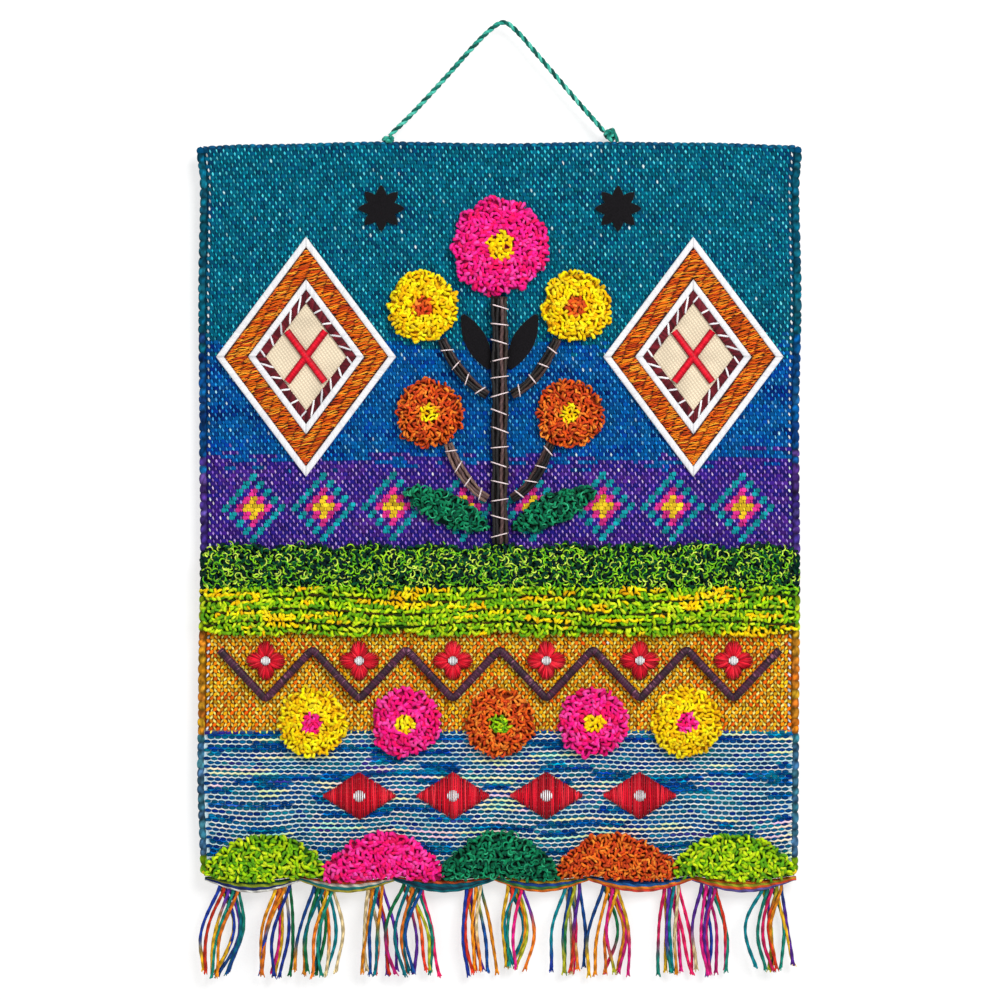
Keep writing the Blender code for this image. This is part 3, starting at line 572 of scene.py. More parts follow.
def sway(across, down):
    """Y of the middle of the cloth: the soft waves in which it hangs."""
    growing = STILL_SHARE + (1 - STILL_SHARE) * down / CLOTH_HEIGHT
    broad = BROAD_WAVE[0] * np.sin(across / BROAD_WAVE[1] + 0.6) * growing
    slow = SLOW_WAVE[0] * np.sin(down / SLOW_WAVE[1] + across / SLOW_SLANT + 1.1)
    far = (across + CLOTH_WIDTH / 2) ** 2 + down**2
    return broad + slow - CORNER_LIFT[0] * np.exp(-far / CORNER_LIFT[1] ** 2)


def spot(across, down, lift, behind=False):
    """Points that lie lift in front of the cloth's front face, or as far behind its back."""
    across, down, lift = np.broadcast_arrays(across, down, lift)
    y = sway(across, down) - CLOTH_THICK / 2 - lift
    if behind:
        y = y + 2 * (lift + CLOTH_THICK / 2)
    return np.stack([CLOTH_MIDDLE_X + across, y, -CORD_RISE - down], axis=-1)


def above(places, lift):
    """Points that lie lift in front of the cloth at places, each given as (across, down)."""
    return spot(places[..., 0], places[..., 1], lift)


def in_cloth(across, down):
    """Points in the middle of the cloth's thickness."""
    across, down = np.broadcast_arrays(across, down)
    return np.stack([CLOTH_MIDDLE_X + across, sway(across, down), -CORD_RISE - down], axis=-1)


def unit(vectors):
    """The same vectors at length one."""
    return vectors / (np.linalg.norm(vectors, axis=-1, keepdims=True) + 1e-9)


# Meshes from arrays

class Batch:
    """Many small shapes that become one mesh: points, quads, and a colour at each point."""

    def __init__(self):
        self.points, self.quads, self.colours = [], [], []
        self.size = 0

    def add(self, points, quads, colours):
        """One more set of points with its quads, and one colour or one for each point."""
        points = np.asarray(points, float).reshape(-1, 3)
        colours = np.broadcast_to(np.asarray(colours, float).reshape(-1, 3), points.shape)
        self.points.append(points)
        self.colours.append(colours)
        self.quads.append(np.asarray(quads, int).reshape(-1, 4) + self.size)
        self.size += len(points)

    def make(self, name, look, slot_name, sharp=None):
        """The mesh object, which rides on the one body and takes that material. The slot name is not used."""
        quads = np.concatenate(self.quads)
        mesh = bpy.data.meshes.new(name)
        mesh.vertices.add(self.size)
        mesh.vertices.foreach_set("co", (np.concatenate(self.points) * MM).ravel())
        mesh.loops.add(quads.size)
        mesh.loops.foreach_set("vertex_index", quads.astype(np.int32).ravel())
        mesh.polygons.add(len(quads))
        mesh.polygons.foreach_set("loop_start", np.arange(0, quads.size, 4, dtype=np.int32))
        mesh.update(calc_edges=True)
        mesh.shade_smooth()
        if sharp:
            mesh.set_sharp_from_angle(angle=math.radians(sharp))
        rgba = np.ones((self.size, 4))
        rgba[:, :3] = linear(np.concatenate(self.colours))
        layer = mesh.color_attributes.new(COLOUR_LAYER, "FLOAT_COLOR", "POINT")
        layer.data.foreach_set("color", rgba.ravel())
        mesh.materials.append(look)
        made = bpy.data.objects.new(name, mesh)
        bpy.context.scene.collection.objects.link(made)
        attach(made, "root")
        return made


def tube_quads(count, rings, sides, capped):
    """Quads of many tubes of equal size, with their ends closed if capped. Sides is even."""
    start = np.arange(count)[:, None, None] * rings * sides
    ring = np.arange(rings - 1)[None, :, None] * sides
    here = np.arange(sides)[None, None, :]
    there = (here + 1) % sides
    low = start + ring
    high = low + sides
    quads = [np.stack([low + here, low + there, high + there, high + here], axis=-1).reshape(-1, 4)]
    if capped:
        first = np.arange(count) * rings * sides
        last = first + (rings - 1) * sides
        for k in range(1, sides - 2, 2):
            quads.append(np.stack([first, first + k + 2, first + k + 1, first + k], axis=-1))
            quads.append(np.stack([last, last + k, last + k + 1, last + k + 2], axis=-1))
    return np.concatenate(quads)


def closed_grid(columns, rows, mirrored=False):
    """Quads of a closed sheet, for a grid of front points and then the same grid of back points.

    Mirrored is for a grid whose columns and rows run the other way round.
    """
    here = (np.arange(columns)[:, None] * (rows + 1) + np.arange(rows)[None]).ravel()
    there = here + rows + 1
    shift = (columns + 1) * (rows + 1)
    rim = [i * (rows + 1) for i in range(columns)]
    rim += [columns * (rows + 1) + j for j in range(rows)]
    rim += [i * (rows + 1) + rows for i in range(columns, 0, -1)]
    rim = np.array(rim + list(range(rows, 0, -1)))
    after = np.roll(rim, -1)
    cells = np.stack([here, here + 1, there + 1, there], axis=1)
    sides = np.stack([rim, after, after + shift, rim + shift], axis=1)
    turned = [0, 3, 2, 1]
    if mirrored:
        return np.concatenate([cells[:, turned], cells[:, [1, 2, 3, 0]] + shift, sides[:, turned]])
    return np.concatenate([cells, cells[:, turned] + shift, sides])


def tubes(batch, paths, radii, colours, sides=6, capped=True, twist=None, squash=1.0):
    """Yarns along many paths of equal length. Twist is a groove's depth and its pitch, for two plies; the
    grooves are painted darker as shade.
    """
    paths = np.asarray(paths, float)
    count, rings = paths.shape[:2]
    radii = np.broadcast_to(radii, (count, rings))
    colours = np.asarray(colours, float)
    if colours.ndim == 2:
        colours = colours[:, None, :]
    colours = np.broadcast_to(colours, (count, rings, 3))
    along = unit(np.gradient(paths, axis=1))
    steps = np.linalg.norm(np.diff(paths, axis=1, prepend=paths[:, :1]), axis=2)
    run = np.cumsum(steps, axis=1)
    steep = np.abs(along[:, 0, 1]) > 0.8
    side = np.where(steep[:, None], [[1.0, 0.0, 0.0]], [[0.0, 1.0, 0.0]])
    turns = 2 * math.pi * (np.arange(sides) + 0.5) / sides
    points = np.empty((count, rings, sides, 3))
    shades = np.ones((count, rings, sides))
    for r in range(rings):
        way = along[:, r]
        side = unit(side - (side * way).sum(axis=1, keepdims=True) * way)
        up = np.cross(way, side)
        reach = np.repeat(radii[:, r, None], sides, axis=1)
        if twist:
            groove = (1 - np.cos(2 * (turns[None] - 2 * math.pi * run[:, r, None] / twist[1] / 2))) / 2
            reach = reach * (1 - twist[0] * groove)
            # painted shade: the colour darkens in the groove between the two plies
            shades[:, r] = 1 - 1.5 * twist[0] * groove
        flat, high = np.cos(turns) * squash, np.sin(turns)
        around = flat[None, :, None] * side[:, None] + high[None, :, None] * up[:, None]
        points[:, r] = paths[:, r, None] + reach[..., None] * around
    tinted = colours[:, :, None, :] * shades[..., None]
    batch.add(points, tube_quads(count, rings, sides, capped), tinted.reshape(-1, 3))


def long_float(shoulder):
    """The stations and quads of a float that has its full height between two shoulders."""
    stations = [(-1.0, 0.0, 2)]
    for along in (-shoulder, shoulder):
        stations += [(along, -1.0, 1), (along, 0.0, 0), (along, 1.0, 1)]
    stations.append((1.0, 0.0, 2))
    return stations, ((0, 3, 2, 1), (1, 2, 5, 4), (2, 3, 6, 5), (7, 4, 5, 6))


def bumps(batch, across, down, half, lifts, colours, upright=False, slant=0.0, behind=False,
          shades=FLOAT_SHADES, shoulder=FLOAT_SHOULDER):
    """Small domes, such as one float of a yarn: tips, long edges and a crown, painted darker at the tips and
    edges and lighter at the crown as shade and highlight.
    """
    long_half, thin_half = (np.broadcast_to(h, across.shape) for h in half)
    stations, order = PLAIN_FLOAT if upright or behind else long_float(shoulder)
    points, tints = [], []
    for along, beside, part in stations:
        far, wide = along * long_half, beside * thin_half
        x, z = (wide + slant * far, far) if upright else (far, wide + slant * far)
        points.append(spot(across + x, down + z, lifts[part], behind))
        tints.append(colours * shades[part])
    if upright != behind:
        order = tuple(q[::-1] for q in order)
    start = np.arange(across.size)[:, None, None] * len(stations)
    quads = start + np.asarray(order)[None]
    batch.add(np.stack(points, axis=1), quads, np.stack(tints, axis=1).reshape(-1, 3))


def thread_places(starts, ends, count):
    """Places along straight threads from starts to ends, with each one's share of the way."""
    t = np.linspace(0, 1, count)[None, :, None]
    return starts[:, None] * (1 - t) + ends[:, None] * t, t[..., 0]


# Materials

def shader_of(name, roughness, sheen, gloss=0.12):
    """A new material's node tree, its nodes, links and principled shader, with the constant values set."""
    made = bpy.data.materials.new(name)
    made.use_nodes = True
    tree = made.node_tree
    shader = tree.nodes["Principled BSDF"]
    shader.inputs["Roughness"].default_value = roughness
    shader.inputs["Sheen Weight"].default_value = sheen
    shader.inputs["Sheen Roughness"].default_value = 0.5
    shader.inputs["Specular IOR Level"].default_value = gloss
    return made, tree.nodes, tree.links, shader


def noise_at(nodes, links, place, scale, detail):
    """The value of a noise texture on the piece's own coordinates."""
    texture = nodes.new("ShaderNodeTexNoise")
    texture.inputs["Scale"].default_value = scale
    texture.inputs["Detail"].default_value = detail
    links.new(place.outputs["Object"], texture.inputs["Vector"])
    return texture.outputs["Fac"]


def waves_at(nodes, links, vector, direction, scale, distortion, detail=2.0):
    """The value of a texture of bands in that direction."""
    texture = nodes.new("ShaderNodeTexWave")
    texture.bands_direction = direction
    texture.inputs["Scale"].default_value = scale
    texture.inputs["Distortion"].default_value = distortion
    texture.inputs["Detail"].default_value = detail
    links.new(vector, texture.inputs["Vector"])
    return texture.outputs["Fac"]


def finish_look(nodes, links, shader, height, levels, bump, depth):
    """The colour at each point, painted darker in the height's hollows and lighter on its tops as shade and
    highlight, and a bump from the same height.
    """
    colour = nodes.new("ShaderNodeVertexColor")
    colour.layer_name = COLOUR_LAYER
    level = nodes.new("ShaderNodeMapRange")
    for name, value in zip(("From Min", "From Max", "To Min", "To Max"), levels):
        level.inputs[name].default_value = value
    scaled = nodes.new("ShaderNodeVectorMath")
    scaled.operation = "SCALE"
    raised = nodes.new("ShaderNodeBump")
    raised.inputs["Strength"].default_value = bump
    raised.inputs["Distance"].default_value = depth * MM
    links.new(height, level.inputs["Value"])
    links.new(colour.outputs["Color"], scaled.inputs[0])
    links.new(level.outputs["Result"], scaled.inputs["Scale"])
    links.new(scaled.outputs["Vector"], shader.inputs["Base Color"])
    links.new(height, raised.inputs["Height"])
    links.new(raised.outputs["Normal"], shader.inputs["Normal"])


def yarn_look(name, roughness=0.8, sheen=0.03, grain_and_shade=(0.72, 1.2), fibre=2600.0, bump=0.3, ply=None,
              gloss=0.12):
    """A yarn: the colour at each point, with fine fibres or slanting plies whose hollows are painted darker
    as shade, and a fuzzy bump.
    """
    made, nodes, links, shader = shader_of(name, roughness, sheen, gloss)
    place = nodes.new("ShaderNodeTexCoord")
    if ply:
        scale = 1 / (ply * MM) / PLY_RATIO
        height = waves_at(nodes, links, place.outputs["Object"], "DIAGONAL", scale, 1.5)
    else:
        height = noise_at(nodes, links, place, fibre, 2.0)
    finish_look(nodes, links, shader, height, (*FIBRE_SPAN, *grain_and_shade), bump, 0.3)
    return made


def cloth_look(name, pitch, turn):
    """A plain cloth: the colour at each point with ribs of that pitch, turned in its own plane, painted
    darker between the ribs as shade.
    """
    made, nodes, links, shader = shader_of(name, roughness=0.85, sheen=0.2)
    place = nodes.new("ShaderNodeTexCoord")
    turned = nodes.new("ShaderNodeMapping")
    turned.inputs["Rotation"].default_value = (0.0, turn, 0.0)
    links.new(place.outputs["Object"], turned.inputs["Vector"])
    scale = 1 / (pitch * MM) / BAND_RATIO
    ribs, threads = (waves_at(nodes, links, turned.outputs["Vector"], way, scale, 1.2, 1.0) for way in "XZ")
    softer = nodes.new("ShaderNodeMath")
    softer.operation = "POWER"
    softer.inputs[1].default_value = 0.35
    links.new(threads, softer.inputs[0])
    crossed = nodes.new("ShaderNodeMath")
    crossed.operation = "MULTIPLY"
    links.new(ribs, crossed.inputs[0])
    links.new(softer.outputs["Value"], crossed.inputs[1])
    levels = (*LINEN_SPAN, *LINEN_SHADES)
    finish_look(nodes, links, shader, crossed.outputs["Value"], levels, 0.5, 0.25)
    return made


# The cord and its knots

def cord_line(count):
    """Points at even steps along the cord's middle, on a smooth curve through its route."""
    route = np.array([(x, 0.0, z) for x, z in CORD_ROUTE])
    padded = np.vstack([2 * route[0] - route[1], route, 2 * route[-1] - route[-2]])
    line = []
    for before, start, end, after in zip(padded, padded[1:], padded[2:], padded[3:]):
        out, into = (end - before) / 6, (after - start) / 6
        t = np.linspace(0, 1, 16, endpoint=False)[:, None]
        line.append((1 - t) ** 3 * start + 3 * (1 - t) ** 2 * t * (start + out)
                    + 3 * (1 - t) * t**2 * (end - into) + t**3 * end)
    line = np.vstack([*line, route[-1:]])
    run = np.concatenate([[0], np.cumsum(np.linalg.norm(np.diff(line, axis=0), axis=1))])
    even = np.linspace(0, run[-1], count)
    return np.stack([np.interp(even, run, line[:, k]) for k in range(3)], axis=1), run[-1]


def make_cord(look):
    """The hanging cord: two plies twisted round each other, with its two knots."""
    line, length = cord_line(CORD_RINGS)
    along = unit(np.gradient(line, axis=0))
    side = np.tile([[0.0, 1.0, 0.0]], (CORD_RINGS, 1))
    up = np.cross(along, side)
    turn = 2 * math.pi * np.linspace(0, length / PLY_PITCH, CORD_RINGS)
    before, after = line[:1] - CORD_TUCK * along[:1], line[-1:] + CORD_TUCK * along[-1:]
    batch = Batch()
    for ply in range(2):
        angle = (turn + math.pi * ply)[:, None]
        path = line + PLY_OFFSET * (np.cos(angle) * side + np.sin(angle) * up)
        share = patchy(np.arange(CORD_RINGS + 2), 9.0 * ply, *CORD_PATCH)
        path = np.vstack([before, path, after])
        tubes(batch, path[None], PLY_RADIUS, mixed(PLY_COLOURS[ply], share)[None], sides=8, twist=PLY_TWIST)
    cord = batch.make("twisted_cord", look, "cord_green")
    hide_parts("hanging_cord")
    knots = [make_knot(name, look) for name in KNOTS]


def make_knot(name, look):
    """One knot: the cord tied over itself in three lobes, on the cloth's top edge."""
    across, height, half_wide, half_high, lean = KNOTS[name]
    base = float(-CORD_RISE + between(TOP_RISE, across))
    middle = np.array([CLOTH_MIDDLE_X + across, float(sway(across, 0.0)), base])
    t = np.linspace(0, 2 * math.pi, KNOT_RINGS)
    lobes = np.stack([np.sin(t) + 2 * np.sin(2 * t), np.cos(t) - 2 * np.cos(2 * t)], axis=1) / 3
    turned = lobes @ np.array([[math.cos(lean), math.sin(lean)], [-math.sin(lean), math.cos(lean)]])
    deep = -np.sin(3 * t)
    path = np.stack([(half_wide - KNOT_YARN) * turned[:, 0], KNOT_DEEP * deep,
                     height + (half_high - KNOT_YARN) * turned[:, 1]], axis=1)
    # painted shade: darker on the lobes that lie further back
    colours = mixed(CORD_COLOURS, np.clip(0.5 - 0.35 * deep + 0.3 * np.sin(8 * t + 1.0), 0, 1))
    batch = Batch()
    tubes(batch, (middle + path)[None], KNOT_YARN, colours[None], sides=8, twist=KNOT_TWIST)
    if name in KNOT_TAILS:
        tail = even_path(KNOT_TAILS[name], 0.8)[0]
        yarn = TAIL_YARN * KNOT_YARN
        tubes(batch, (middle + tail)[None], yarn, [CORD_COLOURS[1]], sides=8, twist=KNOT_TWIST)
    knot = batch.make(f"{name}_yarn", look, "cord_green")
    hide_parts(name)
    return knot


# The woven ground

def cloth_place(u, v):
    """Across and down at shares of the cloth's width and height, within its uneven edges."""
    rough = CLOTH_HEIGHT * v
    left = -CLOTH_WIDTH / 2 + between(LEFT_SHIFT, rough)
    right = CLOTH_WIDTH / 2 + between(RIGHT_SHIFT, rough)
    across = left + (right - left) * u
    top = -between(TOP_RISE, across)
    low = np.clip((v - 0.75) / 0.25, 0, 1) ** 2
    down = top + (CLOTH_HEIGHT - top) * v + hem_drop(across) * low
    in_band = np.clip((down - OCHRE_END) / 20, 0, 1) * np.clip((CLOTH_HEIGHT - down) / 20, 0, 1)
    ripple = patchy(across, down, *BANDED_PATCH) - 0.5
    return across, down + BANDED_RIPPLE * ripple * in_band


def ground_colours(across, down, row):
    """Weft and warp colours at many places on the ground."""
    drift = patchy(across, row, *GROUND_DRIFT)
    cloud = patchy(across, down, *GROUND_CLOUD)
    speck = patchy(across, down, *GROUND_SPECK)
    share = np.clip(0.4 * drift + 0.35 * cloud + 0.35 * speck - 0.05, 0, 1)
    sparks = patchy(across, down, *GROUND_SPARK) > 0.86
    bright = 0.2 + 0.62 * patchy(across, down, *GROUND_LIGHT) + 0.3 * sparks
    edge = down + 8.0 * (patchy(across, row, *GROUND_BORDER) - 0.5)
    weft, warp = mixed(TEAL_WEFT, share), mixed(TEAL_WARP, bright)
    for limit, weft_colours, warp_colours in (
        (TEAL_END, BLUE_WEFT, BLUE_WARP), (BLUE_END, PURPLE_WEFT, PURPLE_WARP),
    ):
        blend = np.clip((edge - limit) / BLEND_ZONE + 0.5, 0, 1)
        pick = (patchy(across, row, 9.0, 0.6, int(limit)) < blend)[..., None]
        weft = np.where(pick, mixed(weft_colours, share), weft)
        warp = np.where(pick, mixed(warp_colours, bright), warp)
    fire = np.clip(0.42 * drift + 0.32 * cloud + 0.45 * speck - 0.1, 0, 1)
    for limit, weft_colours, weft_share, warp_colours, warp_share in (
        (PURPLE_END, OCHRE_WEFT, fire, OCHRE_WARP, np.clip(0.75 * bright + 0.25 * fire, 0, 1)),
        (OCHRE_END, BANDED_WEFT, share, PICK_WHITES, bright),
        (BANDED_END, HEM_WEFT, drift, OCHRE_WARP, bright),
    ):
        below = (down > limit)[..., None]
        weft = np.where(below, mixed(weft_colours, weft_share), weft)
        warp = np.where(below, mixed(warp_colours, warp_share), warp)
    return weft, warp


def stepped_diamonds(weft, warp, across, down, row):
    """The ground's colours with a row of stepped diamonds woven in."""
    left = -CLOTH_WIDTH / 2 + between(LEFT_SHIFT, down)
    right = CLOTH_WIDTH / 2 + between(RIGHT_SHIFT, down)
    column = np.floor((across - left) / (right - left) * WARP_COUNT).astype(int)
    within = np.abs(column - WARP_COUNT // 2) < STEP_COUNT * STEP_PERIOD
    cell_x = (column - WARP_COUNT // 2 + 1) // 2 % STEP_PERIOD - STEP_PERIOD // 2
    cell_z = (row - STEP_ROW + 1) // 2
    ring = np.abs(cell_x) + np.abs(cell_z)
    varied = (0.82 + 0.32 * patchy(across, down, *STEP_SPECK))[..., None]
    for reach, colour in STEP_RINGS.items():
        inside = ((ring == reach) & within)[..., None]
        weft = np.where(inside, np.asarray(colour) * varied * 0.92, weft)
        warp = np.where(inside, np.asarray(colour) * varied * 1.12, warp)
    return weft, warp


def tree_of(frame, names):
    """One search tree, in millimetres, over the CAD nodes of those names."""
    points, polygons = [], []
    for name in names:
        mesh = frame["nodes"][name].data
        first = len(points)
        points += [v.co / MM for v in mesh.vertices]
        polygons += [[first + i for i in p.vertices] for p in mesh.polygons]
    return BVHTree.FromPolygons(points, polygons)


def first_hit(tree, x, z):
    """Where a ray from the front meets the tree at that x and z, with the normal there."""
    place, normal, _, _ = tree.ray_cast(Vector((x, -200.0, z)), Vector((0, 1, 0)))
    return place, normal


def covered(frame, across, down):
    """Which places on the cloth lie well under a motif."""
    skipped = ("cloth", "hanging_cord", "knot", "header")
    names = [n for n in frame["nodes"] if not n.startswith(skipped)]
    tree = tree_of(frame, names)
    hidden = np.zeros(across.shape, bool)
    around = ((0, 0), (COVER_REACH, 0), (-COVER_REACH, 0), (0, COVER_REACH), (0, -COVER_REACH))
    for at in range(across.size):
        x, z = CLOTH_MIDDLE_X + across.flat[at], -CORD_RISE - down.flat[at]
        hidden.flat[at] = all(first_hit(tree, x + a, z + b)[0] is not None for a, b in around)
    return hidden


def make_weave(frame, look):
    """The floats of the weft and the dashes of the warp, on the front and the back of the sheet."""
    column, row = np.meshgrid(np.arange(WARP_COUNT), np.arange(PICK_COUNT), indexing="ij")
    column, row = column.ravel(), row.ravel()
    rng = np.random.default_rng(5)
    aside, ahead = (rng.uniform(-stray, stray, column.size) for stray in FLOAT_STRAY)
    u = (column + 0.5 + aside) / WARP_COUNT
    v = (row + 0.5 + ahead) / PICK_COUNT
    across, down = cloth_place(u, v)
    inner = np.abs(u - 0.5) < 0.5 - SELVEDGE / CLOTH_WIDTH
    inner &= (down < OCHRE_END) | (down > BANDED_END)
    hidden = covered(frame, across, down)
    weft, warp = stepped_diamonds(*ground_colours(across, down, row), across, down, row)
    ochre = down > PURPLE_END
    ochre_tone, plain_tone = (rng.uniform(*tones, column.size) for tones in (OCHRE_TONES, PLAIN_TONES))
    tone = np.where(ochre, ochre_tone, plain_tone)[:, None]
    slants = rng.uniform(0.08, 0.3, column.size)
    lean = OCHRE_SLANT * rng.uniform(0.5, 1.3, column.size)
    slants = np.where(ochre, np.where(column % 4 < 2, lean, -lean), slants)
    weft_slants = np.where(ochre, np.where(row % 4 < 2, lean, -lean), 0.05)
    is_weft = (column + row) % 2 == 0
    wide, long = (
        np.where(ochre, dot, dash) * rng.uniform(*spread, column.size)
        for dot, dash, spread in zip(DOT_HALF, DASH_HALF, DASH_SPREADS)
    )
    weft_long, weft_thin = (np.where(ochre, a, b) for a, b in zip(OCHRE_HALF, WEFT_HALF))
    beside_edge = (np.abs(u - 0.5) > 0.5 - (SELVEDGE + WARP_PITCH) / CLOTH_WIDTH)[:, None]
    warp = np.where(beside_edge, np.asarray(EDGE_WARP) * rng.uniform(0.8, 1.0, (column.size, 1)), warp)
    pieces = []
    for behind in (False, True):
        shown = inner if behind else inner & ~hidden
        side = "back" if behind else "front"
        over = is_weft ^ behind
        batch = Batch()
        mask = shown & over
        bumps(batch, across[mask], down[mask], (weft_long[mask], weft_thin[mask]), WEFT_LIFTS,
              weft[mask] * tone[mask], slant=weft_slants[mask], behind=behind)
        pieces.append(batch.make(f"ground_weft_{side}", look, "ground_weave"))
        batch = Batch()
        mask = shown & ~over
        bumps(batch, across[mask], down[mask], (long[mask], wide[mask]), DASH_LIFTS, warp[mask] * tone[mask],
              upright=True, slant=slants[mask], behind=behind, shades=DASH_SHADES)
        pieces.append(batch.make(f"ground_warp_{side}", look, "ground_weave"))
        pieces.append(make_banded_rows(look, behind))
    return pieces


def make_banded_rows(look, behind):
    """The banded rows: blue floats set half a step apart by turns, and white picks that wind between them."""
    rows = round((BANDED_END - OCHRE_END) / BANDED_PITCH)
    side = "back" if behind else "front"
    rng = np.random.default_rng(25)
    batch = Batch()
    column, row = np.meshgrid(np.arange(2, WARP_COUNT - 2), np.arange(rows), indexing="ij")
    chosen_floats = (column + row + behind) % 2 == 0
    column, row = column[chosen_floats], row[chosen_floats]
    v = (OCHRE_END + BANDED_PITCH * (row + rng.uniform(-0.04, 0.04, row.size))) / CLOTH_HEIGHT
    across, down = cloth_place((column + 0.5) / WARP_COUNT, v)
    drift = patchy(across, row, *BLUE_DRIFT)
    speck = patchy(across, down, *BLUE_SPECK)
    blues = mixed(BANDED_WEFT, np.clip(1.05 * drift + 0.22 * speck - 0.13, 0, 1))
    blues = blues * rng.uniform(0.86, 1.14, (row.size, 1))
    half = (LENS_HALF[0] * rng.uniform(0.92, 1.05, row.size), LENS_HALF[1] * rng.uniform(0.9, 1.08, row.size))
    bumps(batch, across, down, half, LENS_LIFTS, blues, behind=behind,
          shades=LENS_SHADES, shoulder=LENS_SHOULDER)
    step = np.arange(2, WARP_COUNT - 1, 2 if behind else 1)
    for row in range(rows):
        v = (OCHRE_END + BANDED_PITCH * (row + 0.5)) / CLOTH_HEIGHT
        across, down = cloth_place((step + 0.5) / WARP_COUNT, np.full(step.size, v))
        wave = PICK_WAVE * np.where((step + row + behind) % 2 == 0, 1, -1)
        line = spot(across, down + wave, PICK_LIFT, behind)
        kind = patchy(across, row, *PICK_KIND)
        is_blue, is_thick = kind < PICK_LACK, kind > PICK_THICK
        tint = patchy(across, row, *PICK_TINT)
        white = np.where(is_thick[:, None], mixed(PICK_TINTS, tint), mixed(PICK_WHITES, tint))
        white = white * rng.uniform(0.94, 1.04, (step.size, 1))
        blue = mixed(BANDED_WEFT, patchy(across, row, *PICK_BLUE))
        blue = blue * rng.uniform(0.7, 1.8, (step.size, 1))
        colours = np.where(is_blue[:, None], blue, white)
        radius = PICK_YARN * (0.78 + 0.4 * patchy(across, row, *PICK_SWELL))
        radius = np.where(is_blue, BLUE_YARN, np.where(is_thick, THICK_YARN, radius))
        tubes(batch, line[None], radius[None], colours[None], sides=4)
    return batch.make(f"ground_banded_{side}", look, "ground_weave")


def make_sheet(look):
    """The base sheet under the weave: closed, thin, and on the folds of the cloth, painted as a darker weft
    colour for the shade between the floats.
    """
    columns, rows = SHEET_GRID
    inside = np.linspace(SHEET_MARGIN, 1 - SHEET_MARGIN, columns + 1)
    u, v = np.meshgrid(inside, np.linspace(0, 1, rows + 1), indexing="ij")
    across, down = cloth_place(u, v)
    weft, _ = ground_colours(across, down, np.round(v * PICK_COUNT).astype(int) // 2 * 2)
    points = [spot(across, down, lift).reshape(-1, 3) for lift in (SHEET_FRONT, SHEET_BACK)]
    banded = ((down > OCHRE_END + 1) & (down < BANDED_END))[..., None]
    # painted shade: the weft's colour darkened where the sheet shows between the floats; the banded rows keep
    # their light net colour
    shade = np.where(down > PURPLE_END, *SHEET_SHADES)[..., None]
    ground = np.where(banded, NET_COLOUR, weft * shade).reshape(-1, 3)
    behind = np.where(banded.reshape(-1, 1), BACK_NET * ground, ground)
    batch = Batch()
    batch.add(np.concatenate(points), closed_grid(columns, rows), np.concatenate([ground, behind]))
    return batch.make("ground_sheet", look, "ground_weave", sharp=60)


def scallops(run, pitch, seed):
    """How far each turn of a rolled edge swells, from 0 between two turns to 1, and its number."""
    turn = run / pitch + 0.5 * patchy(run, 0, 7.0, 1.0, seed)
    return np.abs(np.sin(math.pi * turn)) ** 0.7, np.floor(turn).astype(int)


def mottle(batch, sides, seed):
    """Fine light and dark fibres on the last roll that was drawn."""
    colours = batch.colours[-1].reshape(-1, sides, 3)
    ring, side = np.meshgrid(np.arange(len(colours)), np.arange(sides), indexing="ij")
    speck = patchy(ring + 1.7 * side, side, 2.1, 0.9, seed)
    batch.colours[-1] = (colours * (0.6 + 0.8 * speck)[..., None]).reshape(-1, 3)


def rounded(run, reach):
    """How full a roll is along its run, with both ends rounded over that reach."""
    inside = np.minimum(run - run[0], run[-1] - run)
    return np.sqrt(np.clip(inside / reach, 0.04, 1))


def add_side_roll(batch, sign, rng):
    """A selvedge: the weft's turns side by side, as one roll that swells at each."""
    down = np.arange(1.2, CLOTH_HEIGHT - 0.5, TURN_PITCH / TURN_RINGS)
    swell, whole = scallops(down, TURN_PITCH, 28 + sign)
    shifts = LEFT_SHIFT if sign < 0 else RIGHT_SHIFT
    edge = sign * (CLOTH_WIDTH / 2 + sign * between(shifts, down) - TURN_INSET)
    middle = np.clip((whole + 0.5) * TURN_PITCH, 0, CLOTH_HEIGHT)
    weft, warp = ground_colours(edge, middle, whole * 2)
    for start, end, palette in EDGE_GREENS:
        beside = (middle > start) & (middle < end)
        weft[beside] = warp[beside] = mixed(palette, patchy(middle, 0, *EDGE_DRIFT))[beside]
    tone = rng.uniform(0.78, 1.1, whole.max() + 1)[whole][:, None]
    # painted shade between the turns, where the roll narrows, with a little painted highlight on their crowns
    colours = (0.7 * weft + 0.3 * warp) * tone * (0.55 + 0.5 * swell)[:, None]
    line = in_cloth(edge + sign * TURN_SWELL * swell, down)
    radius = TURN_YARN * (0.82 + 0.18 * swell) * rounded(down, 2.0)
    tubes(batch, line[None], radius[None], colours[None], sides=12, squash=TURN_SQUASH, twist=TURN_TWIST)
    mottle(batch, 12, 36 + sign)


def add_top_roll(batch, rng):
    """The top edge, as a lower roll of the same kind."""
    across = np.arange(2.5 - CLOTH_WIDTH / 2, CLOTH_WIDTH / 2 - 2.5, TOP_TURN_PITCH / TURN_RINGS)
    swell, whole = scallops(across - across[0], TOP_TURN_PITCH, 26)
    top = -between(TOP_RISE, across) + TOP_INSET - TURN_SWELL * swell
    line = in_cloth(across, top)
    # painted light: the top roll is lighter overall and on each turn's crown, with painted shade between the
    # turns
    tone = mixed(TEAL_WEFT, rng.random(whole.max() + 1))[whole] + 12
    colours = tone * (0.65 + 0.6 * swell)[:, None]
    radius = TOP_TURN_YARN * (0.84 + 0.16 * swell)
    tubes(batch, line[None], radius[None], colours[None], sides=10, twist=TOP_TURN_TWIST)
    mottle(batch, 10, 39)


